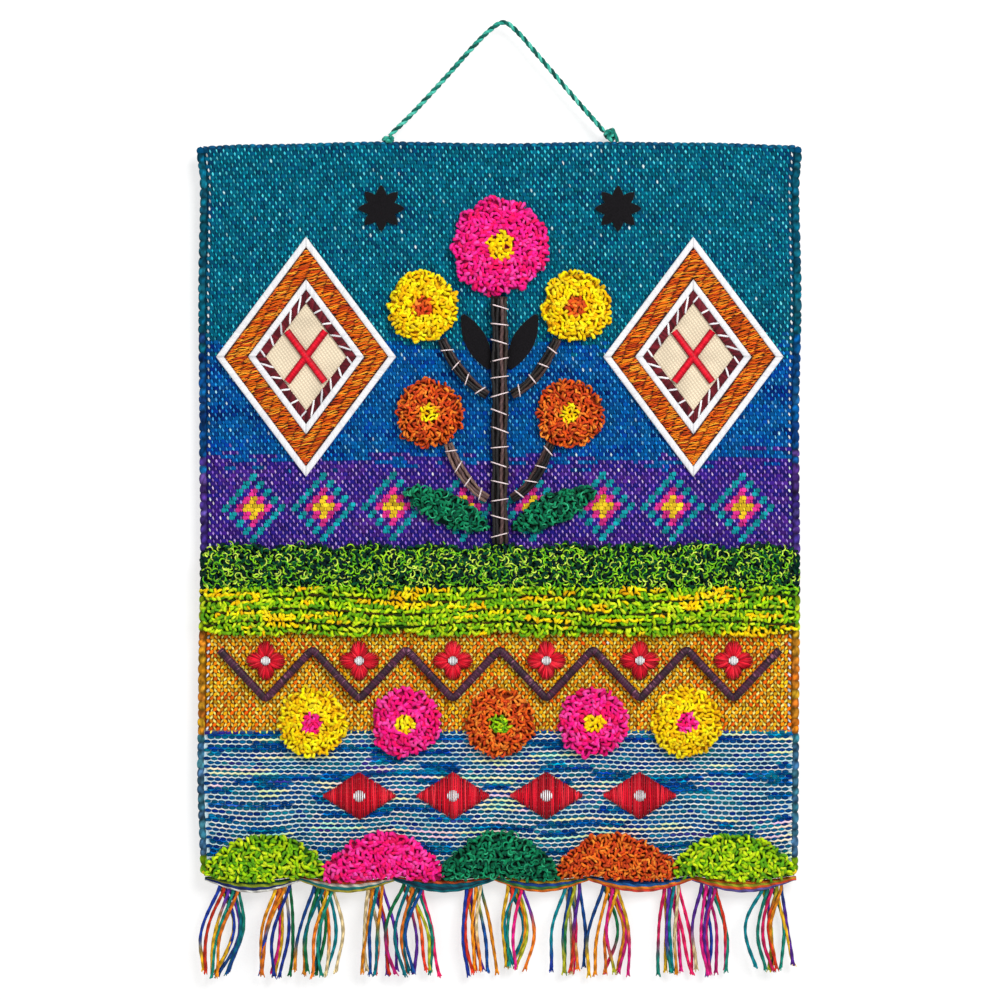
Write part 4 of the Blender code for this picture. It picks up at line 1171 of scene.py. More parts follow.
def make_edges(look):
    """The rolled edges of the ground, with its thicker corners."""
    batch = Batch()
    rng = np.random.default_rng(8)
    add_side_roll(batch, -1, rng)
    add_side_roll(batch, 1, rng)
    add_top_roll(batch, rng)
    for across, down, palette in CORNERS:
        reach = np.array([-1.0, -0.75, 0.0, 0.75, 1.0])
        line = in_cloth(across + CORNER_YARN * 0.9 * reach, down)
        radius = CORNER_YARN * np.sqrt(np.clip(1.05 - reach**2, 0.02, 1))
        tubes(batch, line[None], radius[None], [np.asarray(palette[1]) * 1.15], sides=8, squash=TURN_SQUASH)
    return batch.make("ground_edges", look, "ground_weave")


def make_ground(frame, look):
    """The woven ground: its base sheet, the weave on its front and back, and its rolled edges."""
    sheet = make_sheet(look)
    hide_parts("cloth")
    pieces = [*make_weave(frame, look), make_edges(look)]


# Looped pile

def pile_seats(tree, box, pitch, rng, rows=None):
    """Uneven places on the front of a pile piece: points, normals, and the way out near its edge."""
    (low_x, low_z), (high_x, high_z) = box
    seats, normals, outs = [], [], []
    z, number = high_z, 0
    while z > low_z:
        x = low_x + (number % 2) * pitch / 2
        while x < high_x:
            jitter = rng.uniform(-0.3, 0.3, 2) * pitch * ((1.0, 0.25) if rows else (1.0, 1.0))
            at_x, at_z = x + jitter[0], z + jitter[1]
            at_z += ROW_WAVE[0] * math.sin(x / ROW_WAVE[1] + ROW_DRIFT * number) if rows else 0.0
            place, normal = first_hit(tree, at_x, at_z)
            if place is not None:
                around = [first_hit(tree, at_x + pitch * c[0], at_z + pitch * c[1])[0] for c in COMPASS]
                lost = [c for c, hit in zip(COMPASS, around) if hit is None]
                way = np.sum(lost, axis=0) if lost else np.zeros(2)
                far = np.hypot(*way)
                seats.append(tuple(place))
                normals.append(tuple(normal))
                outs.append((way[0] / far, 0.0, way[1] / far) if far > 0.5 else (0.0, 0.0, 0.0))
            x += pitch
        z -= rows[number % len(rows)] if rows else pitch * 0.87
        number += 1
    return np.array(seats), np.array(normals), np.array(outs)


def loops(batch, seats, normals, outs, colours, rng, yarn, wide, high, foot, curly):
    """Yarn loops that stand on the pile's ground, and lean out at its edge."""
    count = len(seats)
    turn = rng.uniform(-math.pi / 2, math.pi / 2, count)
    across = np.stack([np.cos(turn), np.zeros(count), np.sin(turn)], axis=1)
    facing = unit(normals * [[0.6, 1.0, 0.6]])
    across = unit(across - (across * facing).sum(axis=1, keepdims=True) * facing)
    beside = np.cross(facing, across)
    s = np.linspace(LOOP_ENDS, math.pi - LOOP_ENDS, LOOP_RINGS)[None, :, None]
    wide = wide * rng.uniform(0.75, 1.3, (count, 1, 1))
    high = high * rng.uniform(0.8, 1.15, (count, 1, 1))
    curl = curly * rng.uniform(-1, 1, (count, 1, 1))
    lean = rng.uniform(-0.9, 0.9, (count, 1, 1))
    paths = seats[:, None] - LOOP_SINK * facing[:, None]
    paths = paths + across[:, None] * wide / 2 * np.cos(s) * (1 + 0.3 * np.sin(s))
    paths = paths + facing[:, None] * high * np.sin(s)
    paths = paths + beside[:, None] * (curl * np.sin(2 * s) + lean * np.sin(s))
    paths = paths + outs[:, None] * LOOP_OUT * np.sin(s)
    # painted shade at each loop's foot, rising to a painted highlight at its top
    shade = foot + (1.06 - foot) * np.sin(s) ** 0.8
    radii = yarn * (0.82 + 0.18 * np.sin(s[..., 0])) * rng.uniform(0.85, 1.15, (count, 1))
    tubes(batch, paths, radii, colours[:, None, :] * shade, sides=LOOP_SIDES, capped=False)


def add_bed(batch, node, dark):
    """The ground under a pile, painted dark as the shade between its loops: the CAD piece sunk towards the
    cloth.
    """
    mesh = node.data
    points = np.empty(len(mesh.vertices) * 3)
    mesh.vertices.foreach_get("co", points)
    points = points.reshape(-1, 3) / MM
    across, down = points[:, 0] - CLOTH_MIDDLE_X, -CORD_RISE - points[:, 2]
    back = spot(across, down, SEAT_GAP)[:, 1]
    points[:, 1] = np.minimum(points[:, 1] + BED_SINK, back)
    quads = [list(p.vertices) for p in mesh.polygons]
    quads = [q if len(q) == 4 else [*q, q[-1]] for q in quads if len(q) in (3, 4)]
    batch.add(points, quads, dark)


def pile_colours(name, palette, seats, rng):
    """The colour of each loop of a piece: its palette, a heart of another, or rows."""
    colours = chosen(palette, rng, len(seats))
    across, down = seats[:, 0] - CLOTH_MIDDLE_X, -CORD_RISE - seats[:, 2]
    if name in HEARTS:
        middle, level, radius, inner = HEARTS[name]
        near = np.hypot(across - middle, down - level) < radius
        colours = np.where(near[:, None], chosen(inner, rng, len(seats)), colours)
    if name == "pile_band_lower":
        yellow = patchy(across, down, *ROW_STREAK) + 0.3 * patchy(across, down, *ROW_SPECK) > 0.84
        colours = np.where(yellow[:, None], chosen(YELLOWS, rng, len(seats)), colours)
    return colours


def make_pile(frame, look):
    """All pile pieces, one object for each of the record's pile slots."""
    for number, (slot_name, style) in enumerate(PILE_SLOTS.items()):
        names, palette, ground, yarn, pitch, wide, high, foot = style
        rng = np.random.default_rng(40 + number)
        batch = Batch()
        for name in names:
            low, high_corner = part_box(name)
            box = ((low.x / MM, low.z / MM), (high_corner.x / MM, high_corner.z / MM))
            tree = tree_of(frame, [name])
            in_rows = name == "pile_band_lower"
            seats, normals, outs = pile_seats(tree, box, pitch, rng, ROW_STEPS if in_rows else None)
            if name.startswith("mound"):
                outs[:, 2] = np.maximum(outs[:, 2], 0)
            plain = DARK_GREENS if name == "pile_band_upper" else palette
            colours = pile_colours(name, plain, seats, rng)
            curl = ROW_CURL if in_rows else LOOP_CURL
            loops(batch, seats, normals, outs, colours, rng, yarn, wide, high, foot, curl)
            if name in CURLED:
                add_curls(batch, tree, box, rng, *CURLED[name])
            if in_rows:
                add_furrows(batch, tree, box)
            # the pile's ground in its darker colour, painted shade between the loops
            add_bed(batch, frame["nodes"][name], ground)
        made = batch.make(f"{slot_name}_loops", look, slot_name)
        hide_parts(*names)


def add_furrows(batch, tree, box):
    """Dark threads that run between the threes of rows, over the pile's ground."""
    (low_x, low_z), (high_x, high_z) = box
    across = np.arange(low_x, high_x, FURROW_STEP)
    z, number = high_z - sum(ROW_STEPS) + ROW_STEPS[-1] / 2, len(ROW_STEPS) - 0.5
    while z > low_z:
        wander = FURROW_WANDER * patchy(across, z, *FURROW_PATH) - FURROW_WANDER / 2
        level = z + ROW_WAVE[0] * np.sin(across / ROW_WAVE[1] + ROW_DRIFT * number) + wander
        hits = [first_hit(tree, a, b)[0] for a, b in zip(across, level)]
        line = np.array([tuple(h) for h in hits if h is not None])
        if len(line) > 3:
            line[:, 1] -= FURROW_LIFT - FURROW_DIP * patchy(line[:, 0], level[0], *FURROW_DEPTH)
            colours = mixed(FURROWS, patchy(line[:, 0], line[:, 2], *FURROW_COLOUR))
            radius = FURROW_YARN * (0.6 + 0.9 * patchy(line[:, 0], line[:, 2], *FURROW_SWELL))
            tubes(batch, line[None], radius[None], colours[None], sides=LOOP_SIDES, capped=False)
        z -= sum(ROW_STEPS)
        number += len(ROW_STEPS)


def add_curls(batch, tree, box, rng, palette, pitch):
    """Thin pale curls of yarn that lie on a dark pile."""
    seats, normals, _ = pile_seats(tree, box, pitch, rng)
    count = len(seats)
    facing = unit(normals * [[0.5, 1.0, 0.5]])
    across = unit(np.cross(facing, [[0.0, 0.3, 1.0]]))
    beside = np.cross(facing, across)
    t = np.linspace(0, 1, LOOP_RINGS + 1)[None, :]
    radius = rng.uniform(*CURL_RADIUS, (count, 1)) * (1 + 0.35 * t)
    angle = rng.uniform(0, 2 * math.pi, (count, 1)) + rng.uniform(*CURL_SWEEP, (count, 1)) * t
    rise = 0.9 * np.sin(math.pi * np.clip(t, 0.02, 0.98)) ** 0.5 - 0.5 + rng.uniform(-0.3, 0.4, (count, 1))
    paths = seats[:, None] + (radius * np.cos(angle))[..., None] * across[:, None]
    paths = paths + (radius * np.sin(angle))[..., None] * beside[:, None] + rise[..., None] * facing[:, None]
    # painted shade at each curl's ends, where they sink into the pile
    shade = 0.75 + 0.3 * np.sin(math.pi * t)[..., None]
    colours = chosen(palette, rng, count)[:, None, :] * shade
    tubes(batch, paths, CURL_YARN, colours, sides=LOOP_SIDES, capped=False)


# Cords sewn on

def path_frame(path):
    """The way along a path of places on the cloth, and the side to its left, at each place."""
    path = np.asarray(path, float)
    along = np.gradient(path, axis=0)
    along /= np.linalg.norm(along, axis=1, keepdims=True)
    return along, np.stack([-along[:, 1], along[:, 0]], axis=1)


def even_path(path, step):
    """The same path with places at even steps."""
    path = np.asarray(path, float)
    run = np.concatenate([[0], np.cumsum(np.linalg.norm(np.diff(path, axis=0), axis=1))])
    even = np.linspace(0, run[-1], max(4, round(run[-1] / step)))
    return np.stack([np.interp(even, run, path[:, k]) for k in range(path.shape[1])], axis=1), even


def bundle(batch, path, half, yarn, rng):
    """A flat bundle of dark yarns along a path, tied at even steps with a pale thread."""
    half_wide, half_high = half
    path, run = even_path(path, BUNDLE_STEP)
    _, side = path_frame(path)
    count = max(3, int(2 * half_wide / (1.75 * yarn)))
    for layer in range(2):
        for k in range(count - layer):
            place = (k - (count - 1 - layer) / 2) * (2 * half_wide - 2 * yarn) / (count - 1)
            wander = 0.35 * yarn * np.sin(run / 6.1 + 2.3 * k + 4 * layer)
            at = path + side * (place + wander)[:, None]
            dome = math.sqrt(max(0.05, 1 - (place / half_wide) ** 2))
            lift = SEAT_GAP + half_high * (1 + dome * (0.92 - 1.05 * layer)) - yarn * 0.6
            line = above(at, lift + 0.2 * np.sin(run / 4.3 + k))
            tubes(batch, line[None], yarn, chosen(BARKS, rng, 1), sides=6, twist=BARK_TWIST)
    add_ties(batch, path, side, run, half, rng)


def add_ties(batch, path, side, run, half, rng):
    """Thin pale threads over a bundle, from one side to the other."""
    half_wide, half_high = half
    ties = np.arange(TIE_PITCH / 2, run[-1], TIE_PITCH)
    angle = np.linspace(-0.15, math.pi + 0.15, 11)
    for at in ties:
        slant = rng.uniform(0.4, 2.0) * rng.choice((-1, 1))
        middle = np.array([np.interp(at, run, path[:, k]) for k in range(2)])
        beside = np.array([np.interp(at, run, side[:, k]) for k in range(2)])
        ahead = np.array([beside[1], -beside[0]])
        out = np.cos(angle)[:, None] * (half_wide + 0.15)
        places = middle + out * beside + slant * np.cos(angle)[:, None] * ahead
        lift = SEAT_GAP + half_high + np.sin(angle) * (half_high + 0.2)
        line = above(places, np.maximum(lift, 0.5))
        tubes(batch, line[None], TIE_YARN, [TIE_COLOUR], sides=4)


def bend_through(start, bend, end, steps):
    """Places along a curve from start to end that leans towards bend."""
    t = np.linspace(0, 1, steps)[:, None]
    return (1 - t) ** 2 * np.array(start) + 2 * t * (1 - t) * np.array(bend) + t**2 * np.array(end)


def make_plant(look):
    """The stem and its branches, as tied bundles of dark yarn."""
    rng = np.random.default_rng(61)
    batch = Batch()
    bundle(batch, STEM, STEM_HALF, STEM_YARN, rng)
    for sign in (-1, 1):
        for start, bend, end in BRANCHES.values():
            path = bend_through(*[(sign * a, d) for a, d in (start, bend, end)], BRANCH_STEPS)
            bundle(batch, path, BRANCH_HALF, BRANCH_YARN, rng)
    made = batch.make("plant_cords", look, "wrap_brown")
    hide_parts("stem", *[f"branch_{s}_{level}" for s in ("left", "right") for level in BRANCHES])


def zigzag_path():
    """The places along the zigzag, with its bends."""
    start = -ZIGZAG_STEP * ZIGZAG_LEGS / 2
    path = []
    for leg in range(ZIGZAG_LEGS):
        low, high = (ZIGZAG_TOP, ZIGZAG_BOTTOM) if leg % 2 == 0 else (ZIGZAG_BOTTOM, ZIGZAG_TOP)
        for t in (0.0, ZIGZAG_TURN, 1 - ZIGZAG_TURN):
            path.append((start + ZIGZAG_STEP * (leg + t), low + (high - low) * t))
    path.append((start + ZIGZAG_STEP * ZIGZAG_LEGS, ZIGZAG_TOP))
    return path


def make_zigzag(look):
    """The zigzag: a cord closely wrapped with plum yarn, with paler flecks."""
    rng = np.random.default_rng(62)
    path, run = even_path(zigzag_path(), WRAP_PITCH / 4)
    smooth = np.stack([np.convolve(np.pad(path[:, k], 6, mode="edge"), np.ones(13) / 13, "valid")
                       for k in range(2)], axis=1)
    _, side = path_frame(smooth)
    wrap = run / WRAP_PITCH
    angle = 2 * math.pi * (np.arange(ZIGZAG_SIDES) + 0.5) / ZIGZAG_SIDES
    turn = wrap[:, None] + angle[None] / (2 * math.pi) * WRAP_TURN
    ridge = WRAP_GROOVE + WRAP_RIDGE * np.abs(np.sin(math.pi * turn))
    out = ZIGZAG_HALF[0] * ridge * np.cos(angle)
    lift = SEAT_GAP + ZIGZAG_HALF[1] * (1 + ridge * np.sin(angle))
    points = above(smooth[:, None, :] + side[:, None, :] * out[..., None], lift)
    colours = chosen(PLUMS, rng, int(wrap[-1]) + 3)[turn.astype(int)]
    # painted shade in the grooves between the turns of the wrap
    colours = colours * (0.5 + 0.6 * (ridge[..., None] - WRAP_GROOVE) / WRAP_RIDGE)
    fleck = patchy(run[:, None], angle[None] * 3, *FLECK_PATCH) > 0.9
    colours = np.where(fleck[..., None], np.asarray(FLECK), colours)
    batch = Batch()
    batch.add(points, tube_quads(1, len(run), ZIGZAG_SIDES, True), colours.reshape(-1, 3))
    made = batch.make("zigzag_wrap", look, "wrap_brown")
    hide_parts("zigzag_cord")


# Satin stitch

def satin_threads(batch, starts, ends, crown, foot, palette, rng, yarn=SATIN_YARN):
    """Threads side by side from starts to ends, which are places, rising to a crown between them."""
    places, share = thread_places(starts, ends, SATIN_RINGS)
    rise = np.sin(math.pi * np.clip(share, 0.04, 0.96)) ** 0.6
    lines = above(places, foot + (crown - foot) * rise - yarn)
    colours = chosen(palette, rng, len(starts))
    # painted shade at the threads' feet, rising to a painted highlight at the crown
    shade = 0.72 + 0.32 * rise[..., None]
    tubes(batch, lines, yarn, colours[:, None, :] * shade, sides=4)


def flower_reach(turn):
    """The flower's radius at a turn about its middle: four rounded petals."""
    return FLOWER_RADIUS * (PETAL_NOTCH + (1 - PETAL_NOTCH) * np.abs(np.cos(2 * turn)) ** 0.7)


def make_satin(look, white_look):
    """The red satin flowers and lozenges, and the white knots in the flowers' hearts."""
    rng = np.random.default_rng(71)
    red, white = Batch(), Batch()
    for across in FLOWER_ACROSS:
        middle = np.array([across, FLOWER_DOWN])
        for petal in range(4):
            turn = petal * math.pi / 2 + np.linspace(-PETAL_SPREAD, PETAL_SPREAD, PETAL_THREADS)
            turn = turn + rng.uniform(-0.02, 0.02, turn.size)
            way = np.stack([np.cos(turn), np.sin(turn)], axis=1)
            starts = middle + way * PETAL_START
            ends = middle + way * (flower_reach(turn)[:, None] - PETAL_SHORT)
            satin_threads(red, starts, ends, FLOWER_HEIGHT, 1.0, REDS, rng)
        add_button(white, middle, FLOWER_BUTTON, FLOWER_HEIGHT + 0.2, rng)
    for across in LOZENGES_ACROSS:
        place = np.linspace(-0.96, 0.96, LOZENGE_THREADS)
        deep = LOZENGE_HALF[1] * (1 - np.abs(place)) + 0.3
        x = across + LOZENGE_HALF[0] * place
        lean = rng.uniform(-0.3, 0.3, place.size)
        starts = np.stack([x + lean, LOZENGE_DOWN - deep], axis=1)
        ends = np.stack([x - lean, LOZENGE_DOWN + deep], axis=1)
        satin_threads(red, starts, ends, LOZENGE_HEIGHT, 0.9, REDS, rng, yarn=LOZENGE_YARN)
        add_button(white, (across, LOZENGE_DOWN), LOZENGE_BUTTON, LOZENGE_HEIGHT + 0.3, rng)
    made = red.make("satin_red_threads", look, "satin_red")
    names = [f"flower_{n}" for n in range(1, 7)] + [f"lozenge_{n}" for n in range(1, 5)]
    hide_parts(*names)
    white.make("satin_white_hearts", white_look, "strip_white")


def add_button(batch, middle, radius, lift, rng):
    """A small round of white satin threads."""
    place = np.linspace(-0.9, 0.9, BUTTON_THREADS)
    deep = radius * np.sqrt(1 - place**2)
    starts = np.stack([middle[0] + radius * place, middle[1] - deep], axis=1)
    ends = np.stack([middle[0] + radius * place, middle[1] + deep], axis=1)
    satin_threads(batch, starts, ends, lift + 0.5, lift - 0.4, WHITES, rng, yarn=BUTTON_YARN)


# The framed diamonds

def diamond_edge(across, share, steps):
    """Places round a diamond of that share, evenly spaced along its four sides, as (4 * steps) rows."""
    corners = np.array([(1, 0), (0, 1), (-1, 0), (0, -1), (1, 0)]) * np.array(DIAMOND_HALF) * share
    corners = corners + [across, DIAMOND_DOWN]
    t = np.linspace(0, 1, steps, endpoint=False)[:, None]
    return np.concatenate([a * (1 - t) + b * t for a, b in zip(corners, corners[1:])])


def wrapped_ring(batch, across, strip, steps, palette, rng, ridge):
    """A mitred strip round a diamond, closely wrapped with thread across its width."""
    inner, outer, thick = strip
    part, shoulder = (outer - inner) * BEVEL[0], thick - BEVEL[1]
    profile = ((inner, SEAT_GAP), (inner, shoulder), (inner + part, thick), (outer - part, thick),
               (outer, shoulder), (outer, SEAT_GAP))
    count = 4 * steps
    raised = np.where(np.arange(count) % 2 == 0, ridge, 0.0)
    raised[::steps] = -MITRE_SINK
    points = []
    for number, (share, lift) in enumerate(profile):
        points.append(above(diamond_edge(across, share, steps), lift + (raised if 0 < number < 5 else 0.0)))
    # painted shade: a little darker on the lower wraps, and darker along the sunk mitres
    colours = chosen(palette, rng, count, (0.93, 1.0)) * np.where(raised > 0, 1.0, 0.97)[:, None]
    colours[::steps] *= MITRE_SHADE
    sides = len(profile)
    quads = tube_quads(1, count + 1, sides, False)[:, ::-1] % (count * sides)
    batch.add(np.stack(points, axis=1), quads, np.repeat(colours, sides, axis=0))


def make_strips(look):
    """The white strips of both diamonds."""
    rng = np.random.default_rng(81)
    batch = Batch()
    for across in DIAMONDS_ACROSS.values():
        wrapped_ring(batch, across, OUTER_STRIP, OUTER_WRAPS, WHITES, rng, STRIP_RIDGE)
        wrapped_ring(batch, across, INNER_STRIP, INNER_WRAPS, WHITES, rng, STRIP_RIDGE)
    made = batch.make("white_strips", look, "strip_white")
    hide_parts(*[f"diamond_{s}_{p}" for s in DIAMONDS_ACROSS for p in ("outer_strip", "inner_strip")])


def ring_spans(down, inner, outer):
    """Where a level line crosses a diamond ring, as spans across from its middle."""
    level = abs(down - DIAMOND_DOWN) / DIAMOND_HALF[1]
    if level >= outer:
        return []
    far = (outer - level) * DIAMOND_HALF[0]
    if level >= inner:
        return [(-far, far)]
    near = (inner - level) * DIAMOND_HALF[0]
    return [(-far, -near), (near, far)]


def make_stitches(look):
    """The orange stitching: short wavy threads in slanting columns, with the maroon edging round it."""
    rng = np.random.default_rng(82)
    batch = Batch()
    for across in DIAMONDS_ACROSS.values():
        inner, outer, thick = STITCHED
        starts, ends = [], []
        down = DIAMOND_DOWN - DIAMOND_HALF[1] * outer + 0.8
        while down < DIAMOND_DOWN + DIAMOND_HALF[1] * outer:
            for low, high in ring_spans(down, inner, outer):
                cut = low
                stray = rng.uniform(-STITCH_STRAY, STITCH_STRAY)
                while cut < high:
                    lean = STITCH_SLANT * down + stray
                    end = min(STITCH_COLUMN * (math.floor((cut + lean) / STITCH_COLUMN) + 1) - lean, high)
                    if end - cut > STITCH_LEAST:
                        starts.append((across + max(cut - STITCH_LAP, low), down))
                        ends.append((across + min(end + STITCH_LAP, high), down))
                    cut = max(end, cut + 0.5)
            down += STITCH_PITCH
        add_stitches(batch, np.array(starts), np.array(ends), thick, rng)
        # the ring under the stitches, painted dark as the shade between them
        add_backing(batch, across, STITCHED, STITCH_DARK)
        wrapped_ring(batch, across, EDGING, EDGING_WRAPS, MAROONS, rng, EDGING_RIDGE)
        add_edging_threads(batch, across, rng)
    made = batch.make("orange_stitches", look, "stitch_orange")
    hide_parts("diamond_left_stitched", "diamond_right_stitched")


def add_stitches(batch, starts, ends, thick, rng):
    """Wavy short threads from starts to ends."""
    count = len(starts)
    places, share = thread_places(starts, ends, STITCH_RINGS)
    phase = rng.uniform(0, 6.28, (count, 1))
    fall = STITCH_FALL * (ends - starts)[:, :1] * (0.5 - share) * rng.uniform(0.6, 1.4, (count, 1))
    wave = 0.26 * np.sin(share * 6.0 + phase) + fall
    lift = thick - STITCH_YARN + 0.3 - 1.0 * (2 * share - 1) ** 4 + rng.uniform(-0.3, 0.3, (count, 1))
    lines = spot(places[..., 0], places[..., 1] + wave + rng.uniform(-0.2, 0.2, (count, 1)), lift)
    colours = chosen(STITCHES, rng, count)
    # painted shade at the stitch ends, where they sink
    ends_dark = 1 - 0.5 * (2 * share[..., None] - 1) ** 6
    tubes(batch, lines, STITCH_YARN, colours[:, None, :] * ends_dark, sides=4)


def add_backing(batch, across, strip, colour):
    """A flat ring under the stitches, painted dark as the shade between them."""
    inner, outer, thick = strip
    top = thick - BACKING_SINK
    profile = ((inner, SEAT_GAP), (inner, top), (outer, top), (outer, SEAT_GAP))
    points = [above(diamond_edge(across, share, BACKING_STEPS), lift) for share, lift in profile]
    count, sides = 4 * BACKING_STEPS, len(profile)
    quads = tube_quads(1, count + 1, sides, False)[:, ::-1] % (count * sides)
    batch.add(np.stack(points, axis=1), quads, colour)


def add_edging_threads(batch, across, rng):
    """White threads that cross the maroon edging at a slant."""
    inner, outer, thick = EDGING
    near = diamond_edge(across, inner, EDGING_THREADS * EDGING_POINTS)
    far = diamond_edge(across, outer, EDGING_THREADS * EDGING_POINTS)
    starts, ends = near[::EDGING_POINTS], np.roll(far, -EDGING_LEAN, axis=0)[::EDGING_POINTS]
    places, share = thread_places(starts, ends, EDGING_RINGS)
    lines = above(places, thick + 0.2 - 0.7 * (2 * share - 1) ** 2)
    tubes(batch, lines, EDGING_YARN, chosen(WHITES, rng, len(starts)), sides=6)


def make_patches(look):
    """The cream cloth in the middle of each diamond, as a small closed sheet."""
    steps = np.linspace(-1, 1, PATCH_GRID + 1)
    u, v = np.meshgrid(steps, steps, indexing="ij")
    edge = np.maximum(np.abs(u), np.abs(v)) ** 8
    half_x, half_z = (PATCH_SHARE * h for h in DIAMOND_HALF)
    for side, across in DIAMONDS_ACROSS.items():
        x = across + half_x * (u + v) / 2
        z = DIAMOND_DOWN + half_z * (v - u) / 2
        puff = 0.12 * np.sin(x / 3.1) * np.sin(z / 4.3)
        lifts = (PATCH_THICK + puff - PATCH_EDGE * edge, SEAT_GAP)
        points = [spot(x, z, lift).reshape(-1, 3) for lift in lifts]
        colours = np.asarray(LINEN) * (0.94 + 0.12 * patchy(x, z, *LINEN_CLOUD))[..., None]
        batch = Batch()
        batch.add(np.concatenate(points), closed_grid(PATCH_GRID, PATCH_GRID, mirrored=True),
                  np.concatenate([colours.reshape(-1, 3)] * 2))
        made = batch.make(f"diamond_{side}_linen", look, "linen_cream", sharp=60)
        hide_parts(f"diamond_{side}_patch")


def make_slats(look):
    """The crossed red slats on each patch, wrapped with thread."""
    rng = np.random.default_rng(83)
    batch = Batch()
    base = PATCH_THICK + SEAT_GAP
    shades = np.array([shade for _, _, shade in SLAT_PROFILE])[None, :, None]
    run = np.arange(-SLAT_REACH, SLAT_REACH + 0.01, SLAT_STEP)
    raised = np.where(np.arange(run.size) % 2 == 0, SLAT_RIDGE, 0.0)
    for across in DIAMONDS_ACROSS.values():
        for sign, top in ((1, SLAT_THICK), (-1, SLAT_LOWER * SLAT_THICK)):
            way_x, way_z = sign * SLAT_WAY[0], SLAT_WAY[1]
            rings = []
            for wide, high, _ in SLAT_PROFILE:
                x = across + way_x * run + way_z * SLAT_HALF * wide
                z = DIAMOND_DOWN + way_z * run - way_x * SLAT_HALF * wide
                rings.append(spot(x, z, base + (top + raised) * high))
            # painted shade at the slat's edges and painted highlight near its crown
            colours = chosen(REDS[:2], rng, run.size, (0.9, 1.0))[:, None] * shades
            quads = tube_quads(1, run.size, len(SLAT_PROFILE), True)
            batch.add(np.stack(rings, axis=1), quads, colours.reshape(-1, 3))
    made = batch.make("red_slats", look, "satin_red", sharp=50)
    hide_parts("diamond_left_slats", "diamond_right_slats")


# Felt

def felt_piece(name, outline, thick, look, node):
    """A cut felt shape with softly rounded edges, as a small piece."""
    outline = np.asarray(outline, float)
    middle = outline.mean(axis=0)
    points = []
    for share, part, crown in FELT_PROFILE:
        points.append(above(middle + (outline - middle) * share, SEAT_GAP + part * thick + crown))
    count = len(outline)
    batch = Batch()
    colours = np.asarray(FELT_BLACK) * np.ones((count * len(points), 1))
    quads = tube_quads(1, len(points), count, count % 2 == 0)
    batch.add(np.stack(points), quads, colours)
    made = batch.make(name, look, "felt_black", sharp=70)
    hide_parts(node)


def make_felt(look):
    """Two felt leaves on the stem and two felt stars."""
    across, down, radius, notch, thick, tips = FELT_STAR
    for side, sign in (("left", -1), ("right", 1)):
        turn = np.linspace(0, 2 * math.pi, 8 * tips, endpoint=False)
        saw = np.abs((turn * tips / math.pi + 1) % 2 - 1)
        reach = radius * (notch + (1 - notch) * (1 - saw) * 0.98)
        outline = np.stack([sign * across + reach * np.cos(turn), down + reach * np.sin(turn)], axis=1)
        felt_piece(f"felt_{side}_star", outline, thick, look, f"felt_star_{side}")
        foot, tip = (np.array([sign * p[0], p[1]]) for p in FELT_LEAF[:2])
        half, leaf_thick = FELT_LEAF[2:]
        along = tip - foot
        beside = np.array([-along[1], along[0]]) / np.linalg.norm(along)
        u = np.linspace(0, 1, 16)
        wide = half * np.sin(math.pi * (LEAF_CLIP + (1 - 2 * LEAF_CLIP) * u)) ** LEAF_TAPER
        one = foot + along * u[:, None] + beside * wide[:, None]
        two = foot + along * u[::-1, None] - beside * wide[::-1, None]
        felt_piece(f"felt_{side}_leaf", np.concatenate([one, two]), leaf_thick, look, f"felt_leaf_{side}")


# The header and the tassels

def header_line(start, end, depth, height, wobble):
    """The path of one yarn of a header bundle, and its radius along that."""
    across = np.linspace(start, end, HEADER_RINGS)
    full = np.sin(math.pi * np.linspace(0, 1, HEADER_RINGS))
    deep = HEADER_THIN + (HEADER_DEEP - HEADER_THIN) * full
    middle = CLOTH_HEIGHT + hem_drop(across) + SEAT_GAP + deep / 2
    tight = 0.35 + 0.65 * full
    roll = 0.5 * np.sin(across / 9.0 + wobble)
    y = sway(across, CLOTH_HEIGHT) + HEADER_HALF * depth * tight + 0.3 * roll
    z = -CORD_RISE - middle + (deep / 2 - 0.4) * (height * tight) + 0.25 * roll
    radius = HEADER_YARN * (0.72 + 0.28 * full)
    return np.stack([CLOTH_MIDDLE_X + across, y, z], axis=1), radius


def strand_line(tassel, layer, index, rng):
    """The path of one tassel yarn from inside the header down to its end."""
    across, strands, front_bow, back_bow, front_end, back_end, end_pitch, length = tassel
    bow, end = (front_bow, front_end) if layer < 0 else (back_bow, back_end)
    share = np.linspace(-0.05, 1, STRAND_RINGS)
    held = np.clip(share, 0, 1)
    place = index - (strands - 1) / 2
    fan = place * (end_pitch - ROOT_PITCH) * held
    belly = bow * np.sin(math.pi * held) ** 1.2
    reach = length + LENGTH_SPREAD * math.sin(5.1 * index + 2.3 * layer + across)
    stray = rng.normal(0, 1.5) * np.sin(math.pi * held) + rng.normal(0, 2.2) * held**2
    stray = stray + 0.45 * np.sin(9.0 * held + rng.uniform(0, 6.3)) * held
    shift = fan + belly + end * held**1.5 + stray
    root = across + place * ROOT_PITCH
    start = -CORD_RISE - CLOTH_HEIGHT - float(hem_drop(root)) - SEAT_GAP - 0.75 * HEADER_DEEP
    x = CLOTH_MIDDLE_X + root + shift
    place = LAYER_PLACE * np.clip(held / ROOT_SHARE, 0.15, 1)
    y = float(sway(root, CLOTH_HEIGHT)) + layer * (place + 0.7 * np.sin(5.0 * held + 3 * index) * held)
    return np.stack([x, y, start - (reach + 0.25 * HEADER_DEEP) * share], axis=1)


